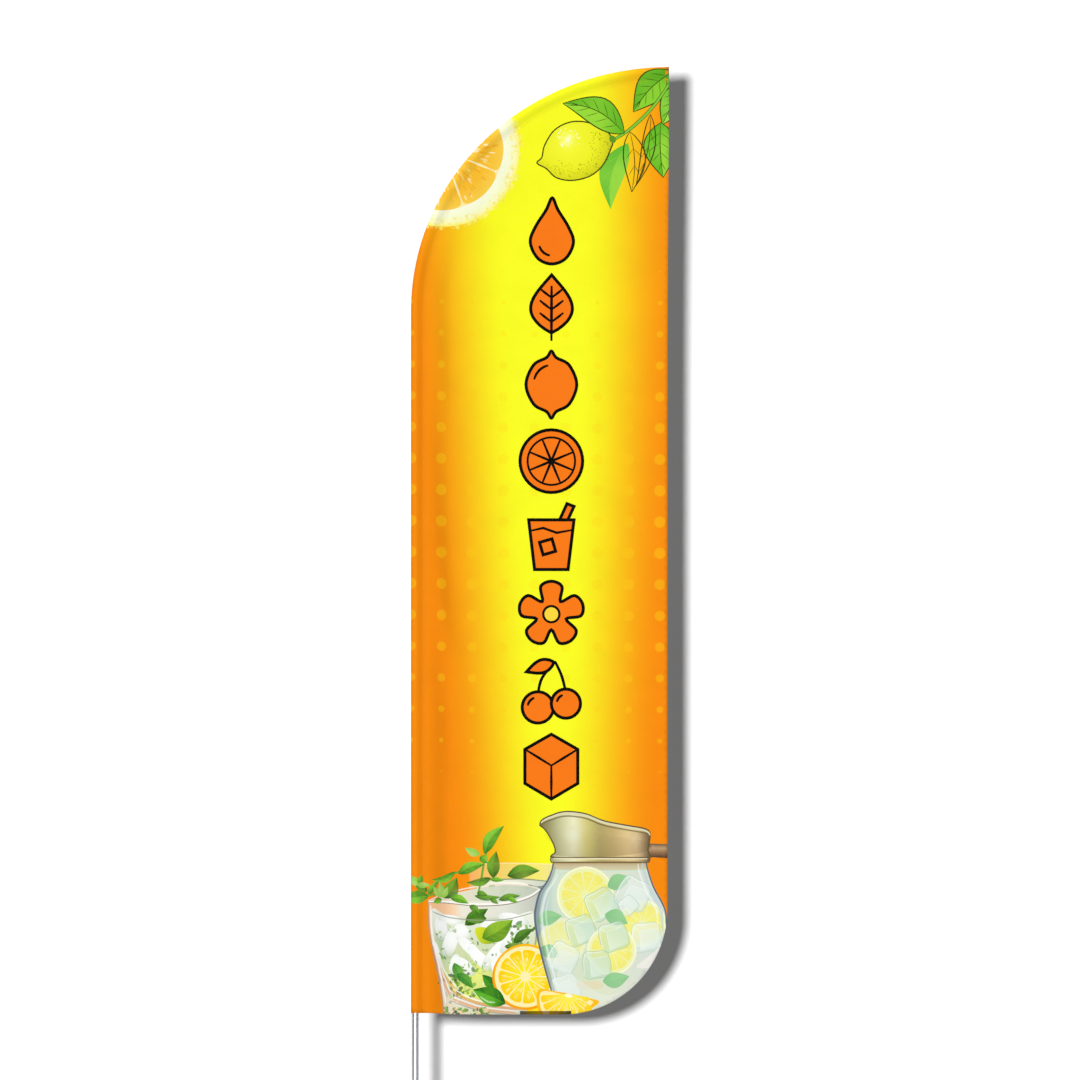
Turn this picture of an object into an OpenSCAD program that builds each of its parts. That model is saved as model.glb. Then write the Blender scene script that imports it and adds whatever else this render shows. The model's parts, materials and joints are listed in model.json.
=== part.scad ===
// Feather flag with pole: a printed knitted flag on a plug-together pole whose bent
// tip spreads the top, turning on a folding cross base.
// Origin on the floor under the pole's axis. +Z is up, +X runs from the pole to the
// flag's free edge, and the printed face looks along -Y.

/* [Flag] */
// Width of the flag from the pole edge to the free edge
flag_w = 956; // [700:1:1100]
// Height of the flag from its bottom edge to its top
flag_h = 3505; // [2800:5:4200]
// Rise of the curved top above the end of the straight pole edge
curve_rise = 900; // [700:1:1000]
// Radius of the rounded lower corner at the free edge
corner_r = 390; // [200:5:450]
// Height of the bottom edge above the floor
flag_z = 560; // [480:5:700]
// Thickness that stands for the cloth panel
panel_t = 1.2; // [0.8:0.1:2]

/* [Pole sleeve] */
// Outer radius of the sewn sleeve around the pole
sleeve_r = 16; // [15.8:0.1:18]
// Wall of the sleeve
sleeve_wall = 0.9; // [0.6:0.1:1]

/* [Pole] */
// Outer diameter of the lowest tube
lower_d = 28; // [27:0.1:29]
// Wall of the aluminium tubes
tube_wall = 1.2; // [1:0.1:1.5]
// Radial play of one tube plugged into the next
plug_play = 0.2; // [0.15:0.05:0.3]
// Length of tube that plugs into the one below
plug_l = 85; // [60:1:120]
// Diameter of the glass-fibre tip at its foot
tip_foot_d = 12; // [10:0.5:14]
// Diameter of the glass-fibre tip at its end
tip_end_d = 6; // [5:0.5:8]

/* [Tether] */
// Distance of the tether behind the pole's axis
tether_y = 23; // [22:0.5:26]
// Height of the ring at the sleeve's webbing tab
ring_z = 540; // [530:1:545]
// Height of the collar that the tether hooks on
collar_z = 280; // [270:1:380]
// Diameter of the elastic cord
bungee_d = 4; // [3:0.5:4]
// Opening angle drawn for the hook's gate
gate_deg = 0; // [0:1:20]

/* [Rotating spindle] */
// Diameter of the steel post
post_d = 16; // [14:0.5:16]
// Height of the post's top
post_top = 224; // [200:1:240]
// Outer diameter of the turning tube
rotator_d = 25.2; // [25:0.1:25.2]
// Inner diameter of the turning tube
rotator_bore = 21.6; // [21:0.1:22]

/* [Cross base] */
// Length of each leg bar
leg_l = 880; // [700:10:1000]
// Width of each leg bar
leg_w = 50; // [40:1:60]
// Thickness of each leg bar
leg_t = 8; // [6:0.5:10]
// Diameter of the rubber feet
foot_d = 44; // [36:1:50]
// Height of the lower bar's feet
foot_h = 8; // [7:0.5:12]
// Angle between the two bars, 90 open and 10 folded
spread_deg = 90; // [10:1:90]

/* [Hidden] */
$fn = 64;
gap = 0.3;                  // play between soft goods and what they lie on
sew = 0.5;                  // width of the seam between panel and sleeve

// Curved stretch of the pole: a quarter ellipse about the flag's free edge
bend_x = flag_w - sleeve_r;
bend_z = flag_z + flag_h - curve_rise;
pole_a = bend_x;
pole_b = curve_rise - sleeve_r;
tip_end_t = 89;             // ellipse angle at which the pole ends, inside the sleeve
bend_steps = 30;

// Heights of the base's layers
lower_leg_top = foot_h + leg_t;
washer_t = 1.3;
upper_leg_z = lower_leg_top + washer_t + 0.2;
upper_leg_top = upper_leg_z + leg_t;
journal_d = 24;
bolt_d = 12;
flange_z = upper_leg_top + 0.5;
flange_t = 6;
flange_top = flange_z + flange_t;
thrust_t = 2;
leg_bearing = 45;           // direction of the lower bar, from +X
foot_inset = 30;
foot_reach = leg_l / 2 - foot_inset;
rivet_d = 6;
hub_d = 60;                 // post's flange, pivot washer and centre pad
bolt_head_t = 5;
bolt_l = 44;
bolt_hole_l = bolt_l + 1;

// Heights of the spindle
rotator_z = flange_top + thrust_t + gap;
rotator_flange_t = 5;
rotator_flange_d = 40;
ball_d = 8;
ball_seat = 3;
cap_z = post_top - ball_seat + ball_d + 0.1;
cap_t = 8;
bush_l = 20;
bush_upper_z = post_top - 34;
clip_z = bush_upper_z + bush_l + 2;
clip_t = 1.2;
clip_groove_d = 14.4;
clip_d = 20.4;
clip_mouth = 6;
thrust_d = 34;
cap_brim_t = 3;

// Pole tubes
pole_z = rotator_z + rotator_flange_t + gap;
tube_reach = (bend_z - pole_z) / 3;
middle_d = lower_d - 2 * (tube_wall + plug_play);
upper_d = middle_d - 2 * (tube_wall + plug_play);
upper_bore = upper_d - 2 * tube_wall;
joint_ring_l = 14;
ferrule_below = 80;
ferrule_above = 8;
ferrule_shoulder = 4;
cap_r = 6;
cap_hold = 10;
patch_l = 56;
patch_w = 28;
patch_t = 1.6;

// Tether and hook
ring_wire = 1.6;
ring_r = 14;
hook_wire = 1.8;
hook_r = 7;
eye_r = 6.5;
lug_hole_r = 4.5;
lug_t = 5;
hook_slack = 0.9;           // gap left over the hook's wire at the lug's hole
hook_z = collar_z + lug_hole_r - hook_wire - hook_slack + hook_r;
gate_l = 21;
gate_z = hook_z + gate_l + 3;
eye_z = gate_z + 4 + eye_r;
eye_top = eye_z + eye_r;
ring_low = ring_z - ring_r;
cord_off = ring_wire + bungee_d / 2 + 0.3;
collar_h = 20;
collar_r = 19;

// ---- Curve of the pole ----

function bend_point(t) = [bend_x - pole_a * cos(t), 0, bend_z + pole_b * sin(t)];
function unit(v) = v / norm(v);
function bend_dir(t) = unit([pole_a * sin(t), 0, pole_b * cos(t)]);

// Ring of points about c, square to the direction dir, which lies in the XZ plane
function ring(c, dir, r, sides) = [
    for (j = [0 : sides - 1])
        let (a = 360 * j / sides)
        c + r * (cos(a) * [0, 1, 0] + sin(a) * [dir[2], 0, -dir[0]])
];

// Quads between neighbouring rings, facing outwards
function skin(rings, sides, from) = [
    for (i = [0 : rings - 2], j = [0 : sides - 1])
        let (k = (j + 1) % sides, a = from + i * sides, b = a + sides)
        [a + j, b + j, b + k, a + k]
];
function flipped(faces) = [for (f = faces) [f[3], f[2], f[1], f[0]]];
function joined(rings) = [for (r = rings) each r];

// A rod along stations of [point, direction, radius]
module swept_rod(stations, sides) {
    n = len(stations);
    last = (n - 1) * sides;
    polyhedron(
        joined([for (s = stations) ring(s[0], s[1], s[2], sides)]),
        concat(
            skin(n, sides, 0),
            [[for (j = [0 : sides - 1]) j]],
            [[for (j = [sides - 1 : -1 : 0]) last + j]]
        )
    );
}

// A tube of even wall along stations of [point, direction]
module swept_tube(stations, r_out, r_in, sides) {
    n = len(stations);
    inner = n * sides;
    polyhedron(
        joined(concat(
            [for (s = stations) ring(s[0], s[1], r_out, sides)],
            [for (s = stations) ring(s[0], s[1], r_in, sides)]
        )),
        concat(
            skin(n, sides, 0),
            flipped(skin(n, sides, inner)),
            [for (j = [0 : sides - 1]) let (k = (j + 1) % sides) [j, k, inner + k, inner + j]],
            [for (j = [0 : sides - 1])
                let (k = (j + 1) % sides, a = inner - sides, b = 2 * inner - sides)
                [a + k, a + j, b + j, b + k]]
        )
    );
}

module tube(d, bore, z0, z1) {
    translate([0, 0, z0]) difference() {
        cylinder(d = d, h = z1 - z0);
        translate([0, 0, -1]) cylinder(d = bore, h = z1 - z0 + 2);
    }
}

// ---- Flag ----

panel_in = sleeve_r + sew;

// The panel's outline inside the sleeve: rounded lower corner, straight free edge, curved top
function panel_outline() = concat(
    [[panel_in, flag_z]],
    [for (i = [0 : 12]) let (a = -90 + 90 * i / 12)
        [bend_x - corner_r + corner_r * cos(a), flag_z + corner_r + corner_r * sin(a)]],
    [for (i = [0 : bend_steps]) let (t = 90 - 90 * i / bend_steps)
        [bend_x - (pole_a - panel_in) * cos(t), bend_z + (pole_b - panel_in) * sin(t)]]
);

module flag_panel() {
    color([0.96, 0.62, 0.06])
    translate([0, panel_t / 2, 0]) rotate([90, 0, 0])
        linear_extrude(panel_t) polygon(panel_outline());
}

module pole_sleeve() {
    color([0.95, 0.5, 0.08])
    swept_tube(
        concat(
            [[[0, 0, flag_z], [0, 0, 1]]],
            [for (i = [0 : bend_steps]) let (t = 90 * i / bend_steps) [bend_point(t), bend_dir(t)]]
        ),
        sleeve_r, sleeve_r - sleeve_wall, 20
    );
}

// Webbing patch that closes the sleeve's end, on the back
module tip_patch() {
    color([0.1, 0.1, 0.1])
    translate([bend_x - patch_l - 4, sleeve_r + gap, bend_z + pole_b - patch_w / 2])
        cube([patch_l, patch_t, patch_w]);
}

// Webbing tab sewn to the back of the sleeve, folded round the ring
module tether_tab() {
    tab_w = 20;
    loop_r = 3.8;
    tail_t = 2.4;
    tail_top = ring_z + 70;
    color([0.1, 0.1, 0.1])
    translate([-tab_w / 2, 0, 0]) rotate([90, 0, 90]) linear_extrude(tab_w)
        difference() {
            union() {
                translate([tether_y, ring_z]) circle(loop_r);
                polygon([
                    [tether_y - loop_r, ring_z],
                    [tether_y + loop_r, ring_z],
                    [sleeve_r + gap + tail_t, ring_z + 30],
                    [sleeve_r + gap + tail_t, tail_top],
                    [sleeve_r + gap, tail_top],
                    [sleeve_r + gap, ring_z + 20]
                ]);
            }
            translate([tether_y, ring_z]) circle(ring_wire + gap);
        }
}

// ---- Pole ----

alloy = [0.75, 0.76, 0.78];

module pole_lower() {
    color(alloy) tube(lower_d, lower_d - 2 * tube_wall, pole_z, pole_z + tube_reach);
}

module pole_middle() {
    color(alloy)
    tube(middle_d, middle_d - 2 * tube_wall, pole_z + tube_reach - plug_l, pole_z + 2 * tube_reach);
}

module pole_upper() {
    color(alloy) tube(upper_d, upper_bore, pole_z + 2 * tube_reach - plug_l, bend_z);
}

// Stop ring on a plugged tube, resting on the mouth of the tube below
module joint_ring(d, z) {
    color([0.1, 0.1, 0.1]) tube(lower_d, d, z, z + joint_ring_l);
}
module joint_ring_lower() { joint_ring(middle_d, pole_z + tube_reach); }
module joint_ring_upper() { joint_ring(upper_d, pole_z + 2 * tube_reach); }

// Aluminium ferrule on the foot of the glass-fibre tip, with a shoulder on the tube's mouth
module tip_ferrule() {
    plug_d = upper_bore - 2 * plug_play;
    bore = tip_foot_d + 0.3;
    color(alloy) difference() {
        union() {
            translate([0, 0, bend_z - ferrule_below]) cylinder(d = plug_d, h = ferrule_below);
            translate([0, 0, bend_z]) cylinder(d = upper_d, h = ferrule_shoulder);
            translate([0, 0, bend_z]) cylinder(d = plug_d, h = ferrule_above);
        }
        translate([0, 0, bend_z - ferrule_below - 1])
            cylinder(d = bore, h = ferrule_below + ferrule_above + 2);
    }
}

module pole_tip() {
    color([0.93, 0.93, 0.9])
    swept_rod(
        concat(
            [[[0, 0, bend_z - ferrule_below], [0, 0, 1], tip_foot_d / 2]],
            [for (i = [0 : bend_steps])
                let (t = tip_end_t * i / bend_steps)
                [bend_point(t), bend_dir(t),
                 (tip_foot_d + (tip_end_d - tip_foot_d) * i / bend_steps) / 2]]
        ), 12
    );
}

// Rounded rubber cap on the tip's end
module tip_cap() {
    end = bend_point(tip_end_t);
    dir = bend_dir(tip_end_t);
    color([0.12, 0.12, 0.12])
    translate(end) rotate([0, 90 - asin(dir[2]), 0]) difference() {
        rotate_extrude() union() {
            intersection() {
                translate([0, 2]) circle(cap_r);
                translate([0, 2]) square([cap_r, cap_r]);
            }
            translate([0, -cap_hold]) square([cap_r, cap_hold + 2]);
        }
        translate([0, 0, -cap_hold - 1]) cylinder(d = tip_end_d + 0.9, h = cap_hold + 1.3);
    }
}

// ---- Tether ----

// D-shaped wire ring: a straight bar in the tab and a half round below it
module tab_ring() {
    color([0.8, 0.8, 0.82])
    translate([0, tether_y, ring_z]) {
        rotate([0, 90, 0]) translate([0, 0, -ring_r]) cylinder(r = ring_wire, h = 2 * ring_r);
        for (side = [-1, 1]) translate([side * ring_r, 0, 0]) sphere(r = ring_wire);
        rotate([90, 0, 0]) rotate([0, 0, 180])
            rotate_extrude(angle = 180) translate([ring_r, 0]) circle(ring_wire);
    }
}

// Loop of elastic cord round the ring's wire and the hook's eye
module bungee_loop() {
    drop = ring_low - eye_top;
    color([0.12, 0.12, 0.13])
    translate([0, tether_y, eye_top]) rotate([90, 0, 90]) {
        for (side = [-1, 1]) translate([side * cord_off, 0, 0])
            rotate([-90, 0, 0]) cylinder(d = bungee_d, h = drop);
        translate([0, drop, 0]) rotate_extrude(angle = 180) translate([cord_off, 0]) circle(d = bungee_d);
        rotate([0, 0, 180]) rotate_extrude(angle = 180) translate([cord_off, 0]) circle(d = bungee_d);
    }
}

module wire(r, z0, z1, x) {
    translate([x, 0, z0]) cylinder(r = r, h = z1 - z0);
}

// Wire hook: eye at the top, one full leg, round bottom and a short stub below the gate
module snap_hook() {
    stub = 2;
    cheek_t = 1.2;
    color([0.78, 0.78, 0.8])
    translate([0, tether_y, 0]) difference() {
        union() {
            translate([0, 0, eye_z]) rotate([90, 0, 0])
                rotate_extrude() translate([eye_r, 0]) circle(ring_wire);
            translate([0, 0, gate_z + 4]) rotate([0, 90, 0])
                translate([0, 0, -hook_r - hook_wire]) cylinder(r = 2.2, h = 2 * (hook_r + hook_wire));
            wire(hook_wire, hook_z, gate_z + 4, -hook_r);
            wire(hook_wire, hook_z, hook_z + stub, hook_r);
            translate([0, 0, hook_z]) rotate([90, 0, 0]) rotate([0, 0, 180])
                rotate_extrude(angle = 180) translate([hook_r, 0]) circle(hook_wire);
            for (side = [-1, 1])
                translate([hook_r, side * (hook_wire + gap + cheek_t / 2), gate_z + 1])
                    cube([5, cheek_t, 8], center = true);
        }
        translate([hook_r, 0, gate_z]) rotate([90, 0, 0]) cylinder(d = 1.6, h = 20, center = true);
    }
}

// Sprung gate that closes the hook, turning on its pin
module hook_gate() {
    color([0.7, 0.7, 0.72])
    translate([hook_r, tether_y, gate_z]) rotate([0, gate_deg, 0]) difference() {
        union() {
            translate([0, 0, -gate_l]) cylinder(r = 1.5, h = gate_l);
            rotate([90, 0, 0]) cylinder(r = 1.7, h = 2 * hook_wire, center = true);
        }
        rotate([90, 0, 0]) cylinder(d = 1.14, h = 20, center = true);
    }
}

module gate_pin() {
    color([0.6, 0.6, 0.62])
    translate([hook_r, tether_y, gate_z]) rotate([90, 0, 0]) {
        cylinder(d = 1.1, h = 8.4, center = true);
        for (side = [-1, 1]) translate([0, 0, side * 4]) cylinder(d = 2.2, h = 0.8, center = true);
    }
}

// Collar clamped on the lowest tube, with a lug behind it for the hook
module tie_collar() {
    color([0.1, 0.1, 0.1])
    difference() {
        union() {
            translate([0, 0, collar_z - collar_h / 2]) cylinder(r = collar_r, h = collar_h);
            translate([-lug_t / 2, collar_r - 3, collar_z - collar_h / 2])
                cube([lug_t, tether_y + lug_hole_r + 4 - collar_r + 3, collar_h - 1]);
        }
        translate([0, 0, collar_z - collar_h]) cylinder(d = lower_d + 0.1, h = 2 * collar_h);
        translate([0, tether_y, collar_z]) rotate([0, 90, 0])
            cylinder(r = lug_hole_r, h = lug_t + 2, center = true);
        rotate([0, 0, 150]) translate([0, 0, collar_z]) rotate([0, 90, 0])
            cylinder(d = 5.2, h = 40);
    }
}

// Socket screw that pins the collar
module collar_screw() {
    head_h = 4;
    color([0.3, 0.3, 0.32])
    rotate([0, 0, 150]) translate([0, 0, collar_z]) rotate([0, 90, 0]) difference() {
        union() {
            translate([0, 0, lower_d / 2 + 0.1]) cylinder(d = 5, h = collar_r - lower_d / 2);
            translate([0, 0, collar_r]) cylinder(d = 8.5, h = head_h);
        }
        translate([0, 0, collar_r + 1.5]) cylinder(d = 4.6, h = head_h, $fn = 6);
    }
}

// ---- Rotating spindle ----

module rotator_tube() {
    color([0.68, 0.69, 0.71])
    difference() {
        union() {
            translate([0, 0, rotator_z]) cylinder(d = rotator_flange_d, h = rotator_flange_t);
            translate([0, 0, rotator_z]) cylinder(d = rotator_d, h = cap_z + cap_t - rotator_z);
        }
        translate([0, 0, rotator_z - 1]) cylinder(d = rotator_bore, h = cap_z + cap_t - rotator_z + 2);
    }
}

module bush(z) {
    color([0.92, 0.92, 0.88]) tube(rotator_bore - 0.1, post_d + 0.16, z, z + bush_l);
}
module bush_lower() { bush(rotator_z + 1); }
module bush_upper() { bush(bush_upper_z); }

module rotator_cap() {
    color([0.1, 0.1, 0.1]) {
        translate([0, 0, cap_z]) cylinder(d = rotator_bore - 0.1, h = cap_t);
        translate([0, 0, cap_z + cap_t]) cylinder(d = rotator_d - 0.4, h = cap_brim_t);
    }
}

module spindle_post() {
    color([0.7, 0.7, 0.72])
    difference() {
        union() {
            translate([0, 0, lower_leg_top]) cylinder(d = journal_d, h = flange_z - lower_leg_top);
            translate([0, 0, flange_z]) cylinder(d = hub_d, h = flange_t);
            translate([0, 0, flange_top]) cylinder(d = post_d, h = post_top - flange_top);
        }
        translate([0, 0, lower_leg_top - 1]) cylinder(d = bolt_d + 0.1, h = bolt_hole_l + 1);
        translate([0, 0, post_top - ball_seat]) cylinder(d = ball_d + 0.2, h = ball_seat + 1);
        tube(post_d + 2, clip_groove_d, clip_z - 0.1, clip_z + clip_t + 0.1);
    }
}

module thrust_ball() {
    color([0.85, 0.85, 0.87])
    translate([0, 0, post_top - ball_seat + ball_d / 2]) sphere(d = ball_d);
}

// Split clip in the post's groove, which keeps the upper bush down
module retaining_clip() {
    color([0.35, 0.35, 0.37])
    difference() {
        tube(clip_d, clip_groove_d + 0.1, clip_z, clip_z + clip_t);
        translate([0, -clip_mouth / 2, clip_z - 1]) cube([clip_d, clip_mouth, clip_t + 2]);
    }
}

module thrust_washer() {
    color([0.92, 0.92, 0.88]) tube(thrust_d, post_d + 0.3, flange_top, flange_top + thrust_t);
}

// ---- Cross base ----

module hub_bolt() {
    head_d = 21.9;
    color([0.7, 0.7, 0.72]) {
        translate([0, 0, foot_h - 1 - bolt_head_t]) cylinder(d = head_d, h = bolt_head_t, $fn = 6);
        translate([0, 0, foot_h - 1]) cylinder(d = bolt_d, h = bolt_l);
    }
}

module lock_washer() {
    color([0.6, 0.6, 0.62]) tube(21, bolt_d + 0.3, foot_h - 1, foot_h);
}

module pivot_washer() {
    color([0.92, 0.92, 0.88]) tube(hub_d, journal_d + 0.3, lower_leg_top, lower_leg_top + washer_t);
}

// Flat steel bar with round ends and a hole for the hub
module leg_bar(z, hole_d) {
    color([0.16, 0.16, 0.17])
    translate([0, 0, z]) difference() {
        union() {
            translate([-(leg_l - leg_w) / 2, -leg_w / 2, 0]) cube([leg_l - leg_w, leg_w, leg_t]);
            for (side = [-1, 1]) translate([side * (leg_l - leg_w) / 2, 0, 0])
                cylinder(d = leg_w, h = leg_t);
        }
        translate([0, 0, -1]) cylinder(d = hole_d, h = leg_t + 2);
        for (side = [-1, 1]) translate([side * foot_reach, 0, -1])
            cylinder(d = rivet_d + 0.2, h = leg_t + 2);
    }
}

// Rubber foot under each end of a bar, hollowed for the rivet
module feet(h) {
    color([0.07, 0.07, 0.07])
    for (side = [-1, 1]) translate([side * foot_reach, 0, 0]) difference() {
        cylinder(d1 = foot_d - 4, d2 = foot_d, h = h);
        translate([0, 0, 3]) cylinder(d = rivet_d + 0.2, h = h);
    }
}

// Rivets with domed heads that hold the feet
module foot_rivets(h) {
    head_d = 12;
    foot_z = 3.2;
    color([0.72, 0.72, 0.74])
    for (side = [-1, 1]) translate([side * foot_reach, 0, 0]) {
        translate([0, 0, foot_z]) cylinder(d = rivet_d, h = h + leg_t - foot_z);
        translate([0, 0, h + leg_t]) rotate_extrude() intersection() {
            translate([0, -6]) circle(8.5);
            square([head_d / 2, 3]);
        }
    }
}

module on_lower_bar() { rotate([0, 0, leg_bearing]) children(); }
module on_upper_bar() { rotate([0, 0, leg_bearing - spread_deg]) children(); }

module leg_lower() { on_lower_bar() leg_bar(foot_h, bolt_d + 0.4); }
module leg_upper() { on_upper_bar() leg_bar(upper_leg_z, journal_d + 0.2); }
module feet_lower() { on_lower_bar() feet(foot_h); }
module feet_upper() { on_upper_bar() feet(upper_leg_z); }
module foot_rivets_lower() { on_lower_bar() foot_rivets(foot_h); }
module foot_rivets_upper() { on_upper_bar() foot_rivets(upper_leg_z); }

// Rubber pad under the hub, hollowed for the bolt's head
module centre_pad() {
    color([0.07, 0.07, 0.07]) difference() {
        cylinder(d = hub_d, h = foot_h);
        translate([0, 0, foot_h - bolt_head_t - 1.2]) cylinder(d = 26, h = foot_h);
    }
}

flag_panel();
pole_sleeve();
tip_patch();
tether_tab();
pole_lower();
pole_middle();
pole_upper();
joint_ring_lower();
joint_ring_upper();
tip_ferrule();
pole_tip();
tip_cap();
tab_ring();
bungee_loop();
snap_hook();
hook_gate();
gate_pin();
tie_collar();
collar_screw();
rotator_tube();
bush_lower();
bush_upper();
rotator_cap();
spindle_post();
thrust_ball();
retaining_clip();
thrust_washer();
hub_bolt();
lock_washer();
pivot_washer();
leg_lower();
leg_upper();
feet_lower();
feet_upper();
foot_rivets_lower();
foot_rivets_upper();
centre_pad();
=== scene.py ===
"""Looks of the feather flag: printed knitted cloth on a bent pole with a folding cross base."""

import json
import math

import bmesh
import bpy
import numpy as np
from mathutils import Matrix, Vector
from mathutils.geometry import delaunay_2d_cdt


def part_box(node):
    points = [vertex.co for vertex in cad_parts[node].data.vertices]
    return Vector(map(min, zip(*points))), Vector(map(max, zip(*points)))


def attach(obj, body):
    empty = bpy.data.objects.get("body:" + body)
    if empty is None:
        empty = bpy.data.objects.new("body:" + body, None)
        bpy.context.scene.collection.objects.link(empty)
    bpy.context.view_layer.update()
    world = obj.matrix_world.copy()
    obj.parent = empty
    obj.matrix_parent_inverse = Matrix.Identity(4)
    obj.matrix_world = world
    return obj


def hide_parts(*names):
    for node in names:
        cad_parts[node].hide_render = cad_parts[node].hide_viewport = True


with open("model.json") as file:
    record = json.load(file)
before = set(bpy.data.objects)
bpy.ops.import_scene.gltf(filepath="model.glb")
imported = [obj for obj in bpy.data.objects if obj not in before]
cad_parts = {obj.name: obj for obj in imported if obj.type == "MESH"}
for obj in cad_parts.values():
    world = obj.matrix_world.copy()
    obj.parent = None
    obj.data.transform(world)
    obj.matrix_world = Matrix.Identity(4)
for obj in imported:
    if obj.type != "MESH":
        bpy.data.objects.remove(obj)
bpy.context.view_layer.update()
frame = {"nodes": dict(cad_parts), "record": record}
NODES = frame["nodes"]

# ---- Sizes, from the frame ----

sleeve_low, sleeve_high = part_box("pole_sleeve")
FLAG_X = sleeve_low.x
FLAG_Z = sleeve_low.z
FLAG_W = sleeve_high.x - sleeve_low.x
FLAG_H = sleeve_high.z - sleeve_low.z
SLEEVE_R = sleeve_high.y
BEND_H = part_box("pole_upper")[1].z - FLAG_Z
CURVE_RISE = FLAG_H - BEND_H
CORNER_R = 0.390
SEAM_AT = 0.046          # sleeve seam, from the pole edge
POCKET_END = 0.058       # end of the folded-back cloth
CLOTH_T = 0.0006
WIRE_R = 0.0016          # tie ring's wire
MM = 0.001


# ---- Small tools ----

def mesh_object(name, verts, faces, material=None, smooth=True):
    """A new object at the origin from points and faces"""
    mesh = bpy.data.meshes.new(name)
    mesh.from_pydata([tuple(v) for v in verts], [], [tuple(int(i) for i in f) for f in faces])
    mesh.update()
    mesh.polygons.foreach_set("use_smooth", [smooth] * len(mesh.polygons))
    piece = bpy.data.objects.new(name, mesh)
    bpy.context.scene.collection.objects.link(piece)
    if material:
        mesh.materials.append(material)
    return piece


def grid_faces(rows, cols):
    """Quads of a grid of rows x cols points"""
    return [(r * cols + c, r * cols + c + 1, (r + 1) * cols + c + 1, (r + 1) * cols + c)
            for r in range(rows - 1) for c in range(cols - 1)]


def finish_modifiers(piece):
    """The piece with its modifiers made part of its mesh"""
    evaluated = piece.evaluated_get(bpy.context.evaluated_depsgraph_get())
    mesh = bpy.data.meshes.new_from_object(evaluated)
    piece.modifiers.clear()
    piece.data = mesh
    return piece


def smoothstep(lo, hi, x):
    t = np.clip((x - lo) / (hi - lo), 0, 1)
    return t * t * (3 - 2 * t)


# ---- Drawing tools of the print, in millimetres on the flat cloth: s from the pole edge, h up ----

ART = []


def ink(r, g, b, a=1.0):
    """Linear colour from display values of 0 to 255"""
    return np.array([((c / 255 + 0.055) / 1.055) ** 2.4 if c > 10 else c / 3295 for c in (r, g, b)] + [a])


def flat(colour):
    return lambda p: np.tile(colour, (len(p), 1))


def as_ink(colour):
    """The colour itself, or the ink of a tuple of display values"""
    return ink(*colour) if isinstance(colour, tuple) else colour


def blend_stops(t, stops):
    places = [place for place, _ in stops]
    inks = [as_ink(colour) for _, colour in stops]
    return np.stack([np.interp(t, places, [c[k] for c in inks]) for k in range(4)], axis=1)


def along(start, end, *stops):
    """Paint that changes from start to end"""
    start, way = np.array(start, float), np.array(end, float) - np.array(start, float)
    return lambda p: blend_stops((p - start) @ way / (way @ way), stops)


def around(centre, r, *stops):
    """Paint that changes with the distance from a centre"""
    return lambda p: blend_stops(np.linalg.norm(p - np.array(centre, float), axis=1) / r, stops)


def draw(outline, paint):
    """Adds a shape to the print, over the ones before it; paint is a colour or a function of place"""
    ART.append((np.asarray(outline, float), paint if callable(paint) else flat(as_ink(paint))))


def turned(points, degrees, centre=(0, 0)):
    """Points turned anticlockwise about a centre"""
    a = math.radians(degrees)
    turn = np.array([[math.cos(a), math.sin(a)], [-math.sin(a), math.cos(a)]])
    return (np.asarray(points, float) - centre) @ turn + centre


def arc(centre, rx, ry, a0, a1, n):
    a = np.radians(np.linspace(a0, a1, n))
    return np.stack([centre[0] + rx * np.cos(a), centre[1] + ry * np.sin(a)], axis=1)


def oval(centre, rx, ry=None, turn=0, n=40):
    return turned(arc(centre, rx, ry or rx, 0, 360, n + 1)[:-1], turn, centre)


def curve(points, per=6, closed=True):
    """Smooth curve through the points"""
    p = np.asarray(points, float)
    n = len(p)
    spans = n if closed else n - 1
    out = []
    for i in range(spans):
        if closed:
            a, b, c, d = (p[(i + k) % n] for k in (-1, 0, 1, 2))
        else:
            a, b, c, d = p[max(i - 1, 0)], p[i], p[i + 1], p[min(i + 2, n - 1)]
        for t in np.arange(per) / per:
            out.append(0.5 * (2 * b + (c - a) * t + (2 * a - 5 * b + 4 * c - d) * t ** 2
                              + (3 * b - a - 3 * c + d) * t ** 3))
    if not closed:
        out.append(p[-1])
    return np.array(out)


def ribbon(points, width, ends=0.15):
    """Outline of a line of the given width, thinner at its ends"""
    p = np.asarray(points, float)
    way = np.gradient(p, axis=0)
    side = np.stack([-way[:, 1], way[:, 0]], axis=1)
    side /= np.linalg.norm(side, axis=1)[:, None]
    t = np.linspace(0, 1, len(p))
    half = width / 2 * (ends + (1 - ends) * np.sin(np.pi * t) ** 0.5)
    return np.concatenate([p + side * half[:, None], (p - side * half[:, None])[::-1]])


def line(points, width, ends, paint):
    """Draws a smooth line through the points"""
    draw(ribbon(curve(points, closed=False), width, ends), paint)


def patch(points, paint, per=5):
    """Draws a soft shape through the points"""
    draw(curve(points, per), paint)


def spoke(centre, a, r0, r1, n):
    """Points along the way at angle a, between two distances from the centre"""
    way = np.array([math.cos(a), math.sin(a)])
    return np.linspace(np.array(centre) + way * r0, np.array(centre) + way * r1, n)


def grown(outline, d):
    """Outline moved outwards by d"""
    p = np.asarray(outline, float)
    before, after = p - np.roll(p, 1, axis=0), np.roll(p, -1, axis=0) - p
    area = np.sum(p[:, 0] * np.roll(p[:, 1], -1) - p[:, 1] * np.roll(p[:, 0], -1))
    normals = []
    for v in (before, after):
        n = np.stack([v[:, 1], -v[:, 0]], axis=1) * np.sign(area)
        normals.append(n / np.linalg.norm(n, axis=1)[:, None])
    mid = normals[0] + normals[1]
    mid /= np.linalg.norm(mid, axis=1)[:, None]
    lean = np.clip(np.sum(mid * normals[0], axis=1), 0.45, 1)
    return p + mid * (d / lean)[:, None]


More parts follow.
